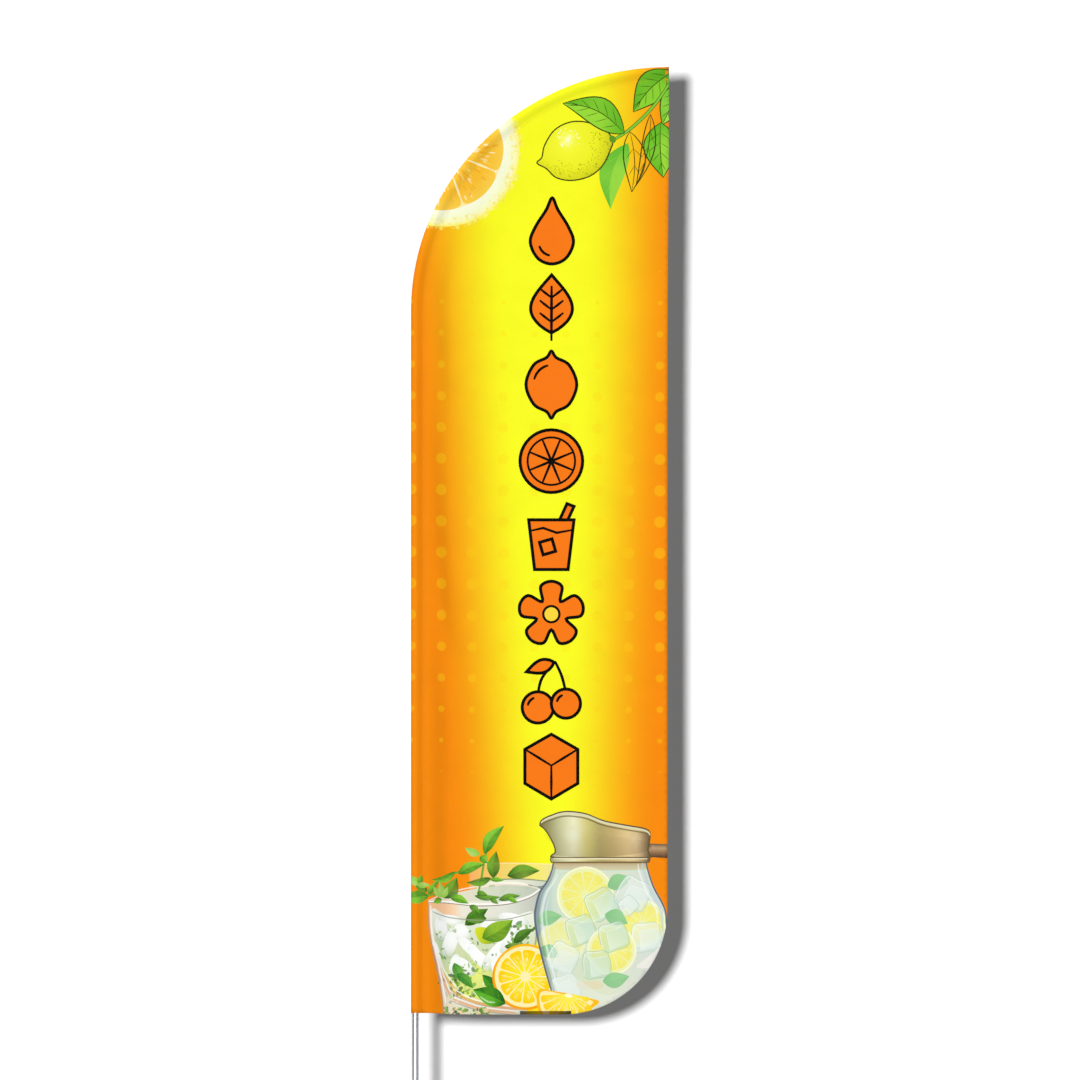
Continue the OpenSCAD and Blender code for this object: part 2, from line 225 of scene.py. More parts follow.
def bordered(outline, width, border, paint):
    """Draws a shape with a border of the given width along its outline"""
    draw(grown(outline, width / 2), border)
    draw(grown(outline, -width / 2), paint)


# ---- Leaves and citrus wheels ----

def leaf_side(base, tip, belly, bow, t):
    """Points of a leaf's edge; belly is the half width, with a sign for the side"""
    base, tip = np.array(base, float), np.array(tip, float)
    way = tip - base
    normal = np.array([-way[1], way[0]]) / np.linalg.norm(way)
    t = np.asarray(t, float)
    swell = np.sin(np.pi * t ** 0.85) * (1 - 0.18 * t)
    return base + np.outer(t, way) + np.outer(bow * np.sin(np.pi * t) + belly * swell, normal)


def leaf(base, tip, belly, bow=0, light=(150, 215, 60), dark=(66, 150, 38), edge=None, veins=4, n=14):
    """A leaf with a spine and ribs; without a light colour it is only its lines"""
    light, dark = as_ink(light), as_ink(dark)
    t = np.linspace(0, 1, n)
    left = leaf_side(base, tip, belly, bow, t)
    right = leaf_side(base, tip, -belly, bow, t)
    spine = leaf_side(base, tip, 0, bow, t)
    if light is not None:
        outline = np.concatenate([left, right[-2:0:-1]])
        draw(outline, along(base, tip, (0, dark), (0.55, (light + dark) / 2), (1, dark)))
        lit_half = np.concatenate([left, spine[-2:0:-1]])
        draw(lit_half, along(base, tip, (0, dark), (0.4, light), (1, light)))
    rib_colour = edge if edge is not None else light * 0.7 + dark * 0.3
    draw(ribbon(spine, 3.2), rib_colour)
    for k in range(1, veins + 1):
        start = k / (veins + 1.6)
        for side in (1, -1):
            rib = [leaf_side(base, tip, 0, bow, [start])[0],
                   leaf_side(base, tip, side * belly * 0.8, bow, [start + 0.17])[0]]
            draw(ribbon(np.linspace(*rib, 4), 2.2), rib_colour)
    if edge is not None:
        draw(ribbon(left, 4.6, 0.5), edge)
        draw(ribbon(right, 4.6, 0.5), edge)


def wedge(centre, r_in, r_out, a0, a1):
    """Outline of one rounded segment of a citrus wheel"""
    def at(r, a):
        return centre[0] + r * math.cos(math.radians(a)), centre[1] + r * math.sin(math.radians(a))

    mid = (a0 + a1) / 2
    side = 0.62 * r_out + 0.38 * r_in
    gap = math.degrees(0.018)
    return curve([at(r_in, mid), at(side, a0 + gap), at(r_out * 0.96, a0 + 1.6 * gap),
                  at(r_out, mid), at(r_out * 0.96, a1 - 1.6 * gap), at(side, a1 - gap)], per=4)


def citrus(centre, r, rind, pith, outer, inner, parts=10, pulp=0, alpha=1.0, seed=1):
    """A cut citrus wheel: rind, pith and segments with bright cells of pulp"""
    thin = np.array([1, 1, 1, alpha])
    rind, pith, outer, inner = (as_ink(colour) * thin for colour in (rind, pith, outer, inner))
    for radius, colour in ((r, rind), (r * 0.93, pith)):
        draw(arc(centre, radius, radius, 0, 360, max(12, int(radius * 0.22) + 10))[:-1], colour)
    rng = np.random.default_rng(seed)
    step = 360 / parts
    flesh = around(centre, r * 0.82, (0.1, inner), (0.6, (inner + outer) / 2), (1, outer))
    for k in range(parts):
        a0, a1 = k * step + step * 0.04, (k + 1) * step - step * 0.04
        draw(wedge(centre, r * 0.13, r * 0.82, a0, a1), flesh)
        for _ in range(pulp):
            a, out = math.radians(rng.uniform(a0 + 5, a1 - 5)), rng.uniform(0.3, 0.66) * r
            cell = spoke(centre, a, out, out + r * rng.uniform(0.08, 0.14), 4)
            draw(ribbon(cell, r * 0.022, 0.3), (255, 250, 200, rng.uniform(0.25, 0.6) * alpha))
    draw(oval(centre, r * 0.07, n=12), pith)


# ---- Lemon on its branch ----

LEAF_VEIN = ink(56, 66, 16)


def branch_leaves():
    leaf((805, 3226), (743, 2982), 52, -30, (150, 215, 66), (92, 186, 52), veins=3)
    leaf((975, 3490), (824, 3340), 62, -16, (138, 208, 50), (84, 172, 30), edge=LEAF_VEIN, veins=5)
    leaf((985, 3440), (930, 3292), 46, 6, (165, 225, 75), (105, 190, 45), edge=LEAF_VEIN, veins=3)
    leaf((925, 3302), (936, 3100), 66, -6, (150, 216, 58), (88, 180, 32), edge=LEAF_VEIN, veins=4)
    leaf((812, 3268), (820, 3046), 44, 14, None, None, edge=LEAF_VEIN, veins=2)
    leaf((888, 3332), (836, 3070), 26, 16, None, None, edge=LEAF_VEIN, veins=3)


def lemon_skin():
    body = curve([(468, 3151), (486, 3172), (496, 3216), (532, 3272), (592, 3302), (660, 3300), (722, 3272),
                  (748, 3238), (742, 3206), (712, 3144), (664, 3104), (598, 3088), (540, 3098), (504, 3130)],
                 per=5)
    shine = around((580, 3238), 200, (0, (250, 252, 130)), (0.18, (243, 246, 50)), (0.55, (236, 238, 36)),
                   (0.74, (216, 216, 30)), (0.92, (180, 178, 24)), (1, (150, 148, 20)))
    bordered(body, 5, LEAF_VEIN, shine)
    rng = np.random.default_rng(4)
    for _ in range(150):
        a, q = rng.uniform(-150, 60), 122 - 62 * rng.random() ** 2
        pore = (608 + q * 1.08 * math.cos(math.radians(a)), 3194 + q * 0.76 * math.sin(math.radians(a)))
        draw(oval(pore, 2.2, n=5), (110, 108, 14, rng.uniform(0.3, 0.7)))
    for _ in range(70):
        a, q = rng.uniform(0, 360), 40 * rng.random()
        glint = (582 + q * 1.2 * math.cos(math.radians(a)), 3240 + q * math.sin(math.radians(a)))
        draw(oval(glint, rng.uniform(1.2, 2.8), n=6), (255, 255, 226, 0.8))


def lemon_on_branch():
    """Lemon and leaves at the top, hanging from a branch off the free edge"""
    branch_leaves()
    branch = [(748, 3236), (800, 3268), (858, 3318), (912, 3378), (975, 3470)]
    line(branch, 13, 0.7, (70, 110, 26))
    line(branch, 8, 0.7, (130, 200, 60))
    lemon_skin()
    leaf((792, 3262), (562, 3370), 58, -30, (150, 216, 56), (92, 178, 34), edge=LEAF_VEIN, veins=5)
    draw(oval((748, 3240), 12, 15, 30, n=12), (96, 150, 36))


# ---- Column of eight plain fruit and drink motifs down the middle ----

BLACK = ink(6, 5, 4)
ICON_ORANGE = ink(247, 121, 20)
ICON_S, ICON_TOP, ICON_PITCH = 526, 2901, 283.5
ICON_BORDER, ICON_LINE, ICON_STEM = 12, 10, 11


def icon_shape(outline, centre):
    bordered(np.asarray(outline, float) + centre, ICON_BORDER, BLACK, ICON_ORANGE)


def icon_stroke(points, centre, width=ICON_LINE):
    draw(ribbon(np.asarray(points, float) + centre, width, 0.7), BLACK)


def mirrored(half):
    """A closed outline from its right half, which starts and ends on the middle line"""
    return half + [(-s, h) for s, h in half[-2:0:-1]]


def icon_blade(base, tip, belly, n):
    return np.concatenate([leaf_side(base, tip, belly, 0, np.linspace(0, 1, n)),
                           leaf_side(base, tip, -belly, 0, np.linspace(1, 0, n)[1:-1])])


def drop_icon(at):
    half = [(0, 122), (22, 78), (62, 14), (80, -42), (52, -100), (0, -121)]
    icon_shape(curve(mirrored(half)), at)
    icon_stroke(arc((0, -42), 48, 48, 195, 262, 9), at)


def leaf_icon(at):
    icon_shape(icon_blade((0, -92), (0, 122), 84, 16), at)
    icon_stroke([(0, -122), (0, -60), (0, 20), (0, 82)], at, ICON_STEM)
    for side in (-1, 1):
        for z in (-52, -6, 38):
            icon_stroke([(0, z), (side * 24, z + 18), (side * 44, z + 34)], at)


def lemon_icon(at):
    half = [(0, 124), (18, 100), (66, 72), (94, 0), (66, -72), (18, -100), (0, -124)]
    icon_shape(curve(mirrored(half)), at)
    icon_stroke(arc((0, 0), 66, 72, 100, 165, 9), at)


def wheel_icon(at):
    icon_shape(oval((0, 0), 116), at)
    draw(oval((0, 0), 92) + at, BLACK)
    draw(oval((0, 0), 84) + at, ICON_ORANGE)
    for a in range(0, 180, 45):
        way = np.array([math.cos(math.radians(a + 22.5)), math.sin(math.radians(a + 22.5))])
        icon_stroke(np.outer([-88, -30, 30, 88], way), at)


def tumbler_icon(at):
    icon_shape([(30, 64), (58, 126), (84, 116), (54, 50)], at)
    icon_shape([(-84, 66), (84, 66), (62, -118), (-62, -118)], at)
    icon_stroke([(-74, 26), (-30, 36), (20, 18), (74, 28)], at)
    icon_shape(turned([(-24, -24), (24, -24), (24, 24), (-24, 24)], 16) + (-14, -34), at)


def blossom_icon(at):
    petals = []
    for k in range(5):
        for a, r in ((72 * k - 21, 110), (72 * k, 122), (72 * k + 21, 110), (72 * k + 36, 58)):
            petals.append((r * math.sin(math.radians(a)), r * math.cos(math.radians(a))))
    icon_shape(curve(petals, per=5), at)
    bordered(oval((0, 0), 30, n=24) + at, 9, BLACK, (252, 214, 60))


def cherries_icon(at):
    for x, z, r in ((-50, -62, 58), (54, -48, 54)):
        stalk = [(x, z + r - 12), (x * 0.7, z + r + 50), (14, 108)]
        icon_stroke(curve(stalk, closed=False), at, ICON_STEM)
        icon_shape(oval((x, z), r), at)
        icon_stroke(arc((x, z), r - 20, r - 20, 110, 170, 7), at)
    icon_shape(icon_blade((10, 106), (-92, 70), 26, 10), at)


def cube_icon(at):
    icon_shape([(0, 122), (98, 66), (98, -60), (0, -118), (-98, -60), (-98, 66)], at)
    for tip in ((-94, 64), (94, 64), (0, -114)):
        icon_stroke([(0, 6), (tip[0] / 2, (6 + tip[1]) / 2), tip], at)


def icons():
    """The motifs in order, from the top"""
    column = (drop_icon, leaf_icon, lemon_icon, wheel_icon, tumbler_icon, blossom_icon, cherries_icon,
              cube_icon)
    for k, icon in enumerate(column):
        icon((ICON_S, ICON_TOP - k * ICON_PITCH))


# ---- Two tumblers with ice and mint at the lower left ----

GREENS = ((70, 130, 40, 0.8), (120, 176, 60, 0.8), (40, 90, 30, 0.8), (176, 206, 120, 0.7))
CLEAR_RIM = (255, 252, 246, 0.9)


def specks(rng, count, low, high, tones, small=3.0, large=10.0):
    """Crushed leaves and bubbles, scattered between two corners"""
    for _ in range(count):
        spot = (rng.uniform(low[0], high[0]), rng.uniform(low[1], high[1]))
        tone = tones[int(rng.integers(len(tones)))]
        length, width = rng.uniform(small, large), rng.uniform(small, large) * 0.6
        draw(oval(spot, length, width, rng.uniform(0, 180), 7), tone)


def rear_tumbler(rng):
    """Pale band above, drink with mint below"""
    draw([(224, 300), (222, 556), (528, 558), (528, 300)],
         along((222, 0), (530, 0), (0, (246, 176, 104, 0.9)), (0.12, (247, 196, 110, 0.8)),
               (0.4, (244, 214, 116, 0.85)), (0.8, (246, 232, 120, 0.85)), (1, (238, 226, 150, 0.9))))
    draw([(250, 300), (250, 494), (360, 502), (528, 496), (528, 300)],
         along((250, 0), (528, 0), (0, (238, 222, 190)), (0.3, (240, 238, 214)), (0.7, (222, 226, 206)),
               (1, (196, 208, 190))))
    patch([(262, 484), (330, 492), (420, 488), (470, 462), (480, 428), (430, 414), (330, 412), (280, 430)],
          around((380, 460), 120, (0, (255, 255, 244)), (1, (238, 234, 200))), per=6)
    for *spot, size in ((306, 474, 12), (352, 470, 17), (344, 452, 12), (404, 446, 11), (436, 470, 10)):
        draw(oval(spot, size, size * 0.7, rng.uniform(0, 90), 12), (84, 150, 52, 0.9))
    line([(244, 496), (330, 500), (420, 502), (528, 492)], 5, 0.6, (150, 160, 120))
    line([(236, 556), (330, 560), (430, 560), (528, 556)], 4, 0.6, (255, 236, 170, 0.9))
    line([(440, 480), (470, 470), (500, 474), (520, 486)], 12, 0.3, (112, 120, 120, 0.8))


def front_glass():
    left = curve([(66, 400), (70, 300), (90, 206), (112, 112), (124, 30), (126, -20)], 4, False)
    right = curve([(446, 120), (466, 250), (476, 380), (482, 462)], 4, False)
    rim = curve([(476, 474), (380, 482), (270, 470), (160, 446), (64, 414)], 4, False)
    body = np.concatenate([[(64, 414)], left, [(430, -20)], right, rim])
    draw(body, along((60, 0), (480, 0), (0, (246, 190, 140, 0.9)), (0.05, (240, 222, 196, 0.92)),
                     (0.3, (226, 226, 204, 0.95)), (0.7, (208, 216, 192, 0.95)), (1, (186, 196, 180, 0.95))))
    patch([(72, 406), (150, 414), (250, 420), (380, 424), (476, 452), (478, 400), (420, 372), (270, 358),
           (140, 366), (76, 384)],
          along((70, 0), (480, 0), (0, (250, 190, 140, 0.95)), (0.22, (248, 206, 164, 0.9)),
                (0.3, (236, 232, 214)), (0.7, (226, 228, 212)), (1, (190, 196, 184))), per=4)


def front_drink():
    """The drink, two tinted glows in it, and long pieces of ice"""
    patch([(78, 384), (140, 362), (250, 352), (360, 356), (462, 380), (466, 280), (450, 150), (420, 40),
           (330, 20), (230, 44), (160, 84), (118, 160), (92, 250)],
          along((0, 380), (0, 20), (0, (238, 242, 230)), (0.3, (214, 224, 190)), (0.6, (204, 218, 146)),
                (0.85, (230, 238, 124)), (1, (206, 190, 150))))
    draw(oval((252, 150), 62, 52, 20, 26),
         around((252, 150), 62, (0, (240, 246, 116, 0.95)), (1, (214, 228, 136, 0.5))))
    draw(oval((128, 250), 34, 90, 14, 26),
         around((128, 250), 80, (0, (176, 206, 150, 0.85)), (1, (206, 222, 190, 0.5))))
    for cx, cy, rx, ry, turn in (
        (116, 316, 24, 52, 10), (150, 262, 26, 60, -18), (196, 300, 26, 40, 30), (224, 246, 20, 60, 48),
        (262, 206, 22, 62, 46), (206, 178, 22, 50, 52), (168, 180, 20, 44, -10), (330, 236, 24, 84, -44),
        (392, 292, 26, 84, -40), (386, 352, 22, 60, 76), (300, 330, 18, 44, 80), (330, 168, 24, 46, 20),
        (428, 210, 16, 52, 4), (152, 350, 16, 50, 84), (96, 226, 14, 44, 14),
    ):
        shine = around((cx - rx * 0.2, cy + ry * 0.25), ry * 1.15, (0, (255, 255, 255, 0.98)),
                       (0.55, (246, 249, 244, 0.94)), (0.85, (222, 230, 216, 0.8)), (1, (190, 206, 186, 0.6)))
        draw(oval((cx, cy), rx, ry, turn, 24), shine)
        draw(ribbon(arc((cx, cy), rx * 0.9, ry * 0.9, 200, 330, 9), 3, 0.2), (160, 184, 150, 0.6))


def mint_in_glass():
    """Mint leaves and a lime wedge under the surface"""
    leaf((206, 330), (292, 392), 26, 4, (84, 140, 40), (36, 84, 22), veins=3)
    patch([(244, 318), (262, 268), (300, 262), (320, 276), (300, 318)],
          along((240, 320), (310, 262), (0, (222, 226, 40)), (0.6, (190, 206, 40)), (1, (140, 176, 40))))
    leaf((270, 282), (384, 352), 40, -8, (146, 190, 50), (74, 132, 30), veins=4)
    leaf((286, 356), (214, 344), 22, -6, (96, 150, 44), (48, 104, 28), veins=3)
    leaf((386, 262), (462, 318), 20, 8, (90, 140, 44), (40, 84, 28), veins=3)
    leaf((352, 252), (432, 262), 16, -6, (120, 160, 60), (56, 96, 30), veins=3)
    leaf((166, 190), (186, 120), 20, 4, (110, 176, 70), (56, 136, 50), veins=3)
    leaf((176, 150), (236, 96), 20, 6, (96, 166, 60), (44, 120, 44), veins=3)


def front_facets(rng):
    """Curved facets of the glass's base, each a warm, a light and a dark line"""
    for points in ([(94, 226), (122, 150), (176, 84)], [(84, 250), (112, 150), (150, 66)],
                   [(150, 90), (240, 46), (400, 18)], [(160, 56), (260, 22), (400, 4)]):
        facet = curve(points, closed=False)
        draw(ribbon(facet, 11, 0.3), (226, 150, 100, 0.62))
        draw(ribbon(facet + (8, 7), 6, 0.3), (255, 252, 246, 0.7))
        draw(ribbon(facet - (7, 6), 4, 0.3), (120, 112, 100, 0.6))
    specks(rng, 46, (132, -6), (300, 26), GREENS + ((70, 60, 50, 0.8), (236, 200, 160, 0.9)), 4, 12)


def front_rim():
    """Rim, surface of the drink and sides of the front glass"""
    line([(64, 416), (110, 436), (170, 456), (250, 474), (340, 482), (430, 478), (484, 464)], 5, 0.6,
         (240, 226, 206))
    line([(64, 412), (150, 414), (250, 408), (360, 414), (440, 436), (484, 464)], 8, 0.6, CLEAR_RIM)
    line([(64, 409), (150, 409), (250, 402), (360, 408), (440, 430), (484, 458)], 3.5, 0.6, (150, 140, 124))
    line([(80, 376), (140, 358), (250, 349), (360, 353), (462, 378)], 5, 0.4, (150, 156, 130, 0.8))
    line([(64, 414), (68, 310), (88, 210), (110, 112), (122, 36), (126, -10)], 6, 0.7, (196, 150, 110))
    line([(74, 400), (78, 310), (98, 212), (120, 116), (134, 40)], 8, 0.3, CLEAR_RIM)
    line([(484, 462), (478, 380), (466, 250), (448, 130), (436, 60)], 6, 0.5, (150, 156, 150, 0.8))


def tumblers():
    rng = np.random.default_rng(11)
    rear_tumbler(rng)
    front_glass()
    front_drink()
    specks(rng, 90, (90, 40), (450, 340), GREENS + ((255, 255, 255, 0.8), (150, 170, 140, 0.7)))
    specks(rng, 40, (150, 60), (240, 190), GREENS, 4, 14)
    specks(rng, 40, (370, 240), (480, 340), GREENS, 4, 14)
    mint_in_glass()
    front_facets(rng)
    front_rim()


MINT_STEMS = (
    [(252, 432), (266, 500), (276, 560), (286, 600)], [(60, 440), (120, 500), (180, 526), (280, 560)],
    [(288, 566), (300, 530), (312, 508)], [(130, 430), (90, 440), (50, 430)],
)
# Base, tip, half width, bow and tone of each leaf
MINT_LEAVES = (
    ((277, 594), (352, 700), 26, 14, "fresh"), ((262, 592), (206, 618), 16, 4, "pale"),
    ((262, 586), (288, 560), 18, 4, "fresh"), ((310, 505), (322, 606), 26, 4, "dark"),
    ((362, 514), (484, 533), 28, 8, "dark"), ((180, 520), (280, 558), 22, 8, "fresh"),
    ((172, 528), (76, 494), 15, 14, "fresh"), ((304, 506), (210, 488), 16, 8, "dark"),
    ((300, 500), (350, 496), 10, 2, "fresh"), ((40, 470), (-20, 512), 16, 0, "pale"),
    ((66, 434), (-34, 424), 26, 0, "fresh"), ((30, 480), (40, 512), 12, 0, "fresh"),
    ((62, 452), (16, 470), 16, 0, "dark"), ((64, 440), (100, 490), 14, 0, "fresh"),
    ((20, 474), (72, 474), 12, 0, "pale"), ((128, 426), (176, 506), 30, -6, "dark"),
    ((118, 430), (84, 470), 13, 2, "pale"), ((118, 424), (84, 408), 12, 0, "fresh"),
    ((150, 432), (220, 410), 17, 6, "fresh"), ((122, 430), (110, 488), 14, 0, "pale"),
    ((124, 428), (142, 470), 12, 0, "pale"), ((222, 404), (260, 372), 14, 4, "dark"),
    ((240, 440), (340, 436), 12, -6, "dark"), ((330, 424), (412, 440), 14, 4, "dark"),
    ((250, 452), (290, 442), 12, 0, "dark"), ((360, 436), (404, 414), 10, 0, "fresh"),
    ((300, 430), (330, 410), 10, 0, "dark"),
)


def mint():
    """Sprigs of mint over the glasses"""
    fresh = ink(136, 200, 60)
    tones = {"fresh": (fresh, (52, 122, 28)), "pale": ((178, 214, 110), fresh),
             "dark": (fresh * 0.75, (26, 84, 24))}
    for stem in MINT_STEMS:
        line(stem, 8, 0.6, (116, 166, 56))
    for base, tip, belly, bow, tone in MINT_LEAVES:
        leaf(base, tip, belly, bow, *tones[tone], veins=3, n=10)


# ---- Glass pitcher with a metal lid at the lower right ----

GLASS_EDGE = (96, 108, 122)
PITCHER_LEFT = curve([(533, 564), (529, 537), (512, 496), (482, 449), (467, 390), (465, 356), (473, 296),
                      (494, 203), (517, 120), (534, 66)], closed=False)
PITCHER_RIGHT = curve([(560, 20), (640, 0), (780, 10), (880, 70), (930, 160), (956, 270), (952, 340),
                       (949, 382), (934, 418), (904, 474), (883, 537), (879, 564)], closed=False)
LEMON_SLICE = ((250, 250, 206), (236, 240, 160), (242, 230, 44), (246, 238, 84))
PITCHER_MINT = ((130, 200, 124, 0.92), (92, 180, 100, 0.92))
CUBE, PALE_CUBE = (184, 218, 188, 0.56), (222, 234, 226, 0.56)


def ice(centre, size, turn, body):
    """A softened clear cube: its face, a lighter second face and fine edge lines"""
    q = size / 2
    body = as_ink(body)
    square = curve([(-q, -q * 0.86), (-q * 0.9, q * 0.9), (0, q),
                    (q * 0.92, q * 0.86), (q, -q * 0.8), (0, -q)], per=3)
    outline = turned(square, turn) + centre
    bright, dim = body * np.array([1.15, 1.1, 1.12, 0.9]), body * np.array([0.8, 0.92, 0.9, 1])
    edge = body * np.array([0.55, 0.72, 0.68, 1.1])
    light = ink(244, 252, 246, 0.5)
    draw(outline, along(outline[3], outline[-3], (0, bright), (0.5, body), (1, dim)))
    face = [(-q * 0.5, -q * 0.9), (-q * 0.42, q * 0.5), (q * 0.9, q * 0.56), (q * 0.94, -q * 0.74)]
    draw(turned(face, turn) + centre, along(outline[0], outline[9], (0, light), (1, body)))
    for a, b in (((-0.5, -0.9), (-0.42, 0.5)), ((-0.42, 0.5), (0.9, 0.56)), ((-0.42, 0.5), (-0.86, 0.86))):
        ridge = turned(np.linspace(np.array(a) * q, np.array(b) * q, 4), turn) + centre
        draw(ribbon(ridge, 3.2, 0.4), light)
    draw(ribbon(np.vstack([outline, outline[:2]]), 3.2, 1), edge)
    draw(ribbon(grown(outline, -4)[:9], 3, 0.2), (250, 255, 250, 0.7))


def pitcher_glass():
    draw(np.concatenate([PITCHER_LEFT, PITCHER_RIGHT]),
         along((465, 0), (950, 0), (0, (128, 150, 152, 0.97)), (0.05, (166, 190, 186, 0.95)),
               (0.16, (200, 218, 204, 0.93)), (0.45, (214, 226, 192, 0.92)), (0.7, (212, 226, 210, 0.92)),
               (1, (202, 220, 216, 0.95))))
    draw([(531, 566), (528, 534), (884, 534), (881, 566)],
         along((0, 566), (0, 534), (0, (168, 134, 84, 0.95)), (0.5, (196, 172, 120, 0.9)),
               (1, (206, 198, 150, 0.85))))
    line([(530, 536), (600, 531), (720, 529), (820, 531), (884, 536)], 7, 0.5, (206, 226, 206, 0.9))


def slices_and_ice():
    """What floats in the pitcher, from the back to the front"""
    citrus((566, 270), 88, *LEMON_SLICE, 9, alpha=0.5, seed=3)
    citrus((864, 338), 88, *LEMON_SLICE, 10, alpha=0.85, pulp=2, seed=5)
    citrus((652, 443), 106, *LEMON_SLICE, 11, alpha=0.92, pulp=4, seed=6)
    leaf((734, 472), (822, 508), 32, 4, *PITCHER_MINT, veins=1)
    leaf((474, 342), (566, 366), 30, 6, *PITCHER_MINT, veins=1)
    leaf((484, 246), (556, 212), 28, 4, *PITCHER_MINT, veins=1)
    ice((712, 408), 104, 30, CUBE)
    leaf((724, 372), (810, 336), 32, 6, *PITCHER_MINT, veins=1)
    ice((829, 446), 112, -24, PALE_CUBE)
    ice((636, 312), 100, 20, CUBE)
    ice((878, 286), 104, 6, PALE_CUBE)
    ice((812, 404), 62, 40, PALE_CUBE)
    citrus((750, 238), 92, *LEMON_SLICE, 10, alpha=0.9, pulp=4, seed=8)
    ice((757, 288), 100, 16, CUBE)
    ice((568, 208), 104, -24, PALE_CUBE)
    ice((694, 184), 98, 6, CUBE)
    ice((580, 96), 96, 20, PALE_CUBE)
    leaf((716, 122), (816, 142), 32, -4, *PITCHER_MINT, veins=1)
    patch([(620, 118), (700, 122), (716, 100), (640, 92)], (226, 206, 160, 0.6), per=4)
    patch([(840, 176), (900, 226), (934, 256), (900, 180)], (244, 238, 232, 0.7), per=4)


def pitcher_shine():
    """Cloudy lemonade over the slices, then reflections and the edges of the glass"""
    left, right = PITCHER_LEFT, PITCHER_RIGHT
    draw(np.concatenate([left[2:] + (5, 0), right[:-2] - (5, 0)]), (236, 244, 232, 0.15))
    patch([(560, 180), (640, 120), (740, 70), (860, 120), (820, 40), (700, 16), (580, 30), (548, 90)],
          (232, 238, 232, 0.4))
    draw(ribbon(left[4:] + (9, 0), 14, 0.2), (112, 130, 132, 0.5))
    draw(ribbon(left[8:] + (26, 0), 9, 0.1), (244, 250, 248, 0.5))
    draw(ribbon(left[20:44] + (42, 6), 6, 0.1), (226, 240, 240, 0.45))
    draw(ribbon(right[30:] - (16, 0), 13, 0.1), (186, 208, 212, 0.6))
    draw(ribbon(right[34:] - (32, 4), 7, 0.1), (250, 254, 252, 0.5))
    draw(ribbon(left, 7, 0.6), GLASS_EDGE)
    draw(ribbon(right[24:], 6, 0.6), GLASS_EDGE)


def pitcher_lid():
    """Metal lid with its handle, and the collar under it"""
    top = curve([(484, 700), (486, 714), (500, 727), (528, 739), (562, 750), (600, 752), (656, 743),
                 (720, 718), (800, 702), (868, 690), (890, 676), (891, 650)], per=5, closed=False)
    low = curve([(884, 610), (890, 590), (886, 582), (720, 574), (536, 582), (541, 602), (534, 632),
                 (508, 678), (490, 696)], per=4, closed=False)
    metal = along((486, 0), (891, 0), (0, (126, 116, 74)), (0.08, (156, 152, 104)), (0.2, (206, 206, 160)),
                  (0.3, (238, 236, 196)), (0.42, (212, 202, 126)), (0.54, (178, 164, 104)),
                  (0.66, (196, 172, 114)), (0.8, (224, 198, 142)), (0.88, (214, 188, 142)),
                  (0.95, (156, 132, 96)), (1, (100, 82, 56)))
    draw([(880, 634), (990, 630), (990, 578), (880, 584)],
         along((0, 634), (0, 580), (0, (84, 70, 56)), (0.25, (196, 166, 126)), (0.55, (160, 120, 84)),
               (1, (64, 50, 42))))
    bordered(np.concatenate([top, low]), 5, (92, 84, 56), metal)
    patch([(500, 676), (620, 690), (760, 660), (884, 640), (884, 606), (720, 584), (548, 590), (540, 620)],
          along((0, 690), (0, 580), (0, (120, 100, 60, 0.0)), (1, (96, 74, 44, 0.34))), per=4)
    draw(oval((606, 668), 34, 44, -14, 24),
         around((606, 668), 44, (0, (232, 236, 208, 0.8)), (1, (214, 216, 176, 0.0))))
    draw(oval((836, 650), 22, 34, 0, 20),
         around((836, 650), 34, (0, (226, 204, 164, 0.7)), (1, (206, 176, 130, 0.0))))
    draw(ribbon(top[6:-4] - (0, 7), 9, 0.4), (222, 216, 176))
    draw(ribbon(top[6:-4] - (0, 17), 6, 0.4), (116, 104, 62, 0.8))
    collar = [(524, 582), (890, 582), (892, 573), (888, 564), (526, 564), (522, 573)]
    bordered(collar, 3.5, (96, 84, 54), metal)
    line([(534, 577), (700, 577), (882, 577)], 5, 0.5, (234, 224, 188))


def pitcher():
    pitcher_glass()
    slices_and_ice()
    pitcher_shine()
    pitcher_lid()


# ---- Fruit along the bottom, and the wheel at the top ----

def fruit_in_front():
    """Cut orange and leaves at the bottom"""
    leaf((322, 98), (270, 148), 22, 2, (70, 150, 40), (12, 84, 26), veins=3)
    citrus((430, 140), 122, (252, 184, 20), (255, 240, 176), (250, 206, 6), (250, 236, 44), 11,
           pulp=12, seed=21)
    draw(ribbon(arc((430, 140), 120, 120, 150, 330, 30), 9, 0.1), (246, 150, 10, 0.8))
    leaf((356, 40), (234, 92), 38, -4, (96, 180, 44), (10, 84, 24), veins=4)
    line([(262, 66), (290, 48), (318, 44)], 7, 0.2, (190, 226, 170, 0.8))


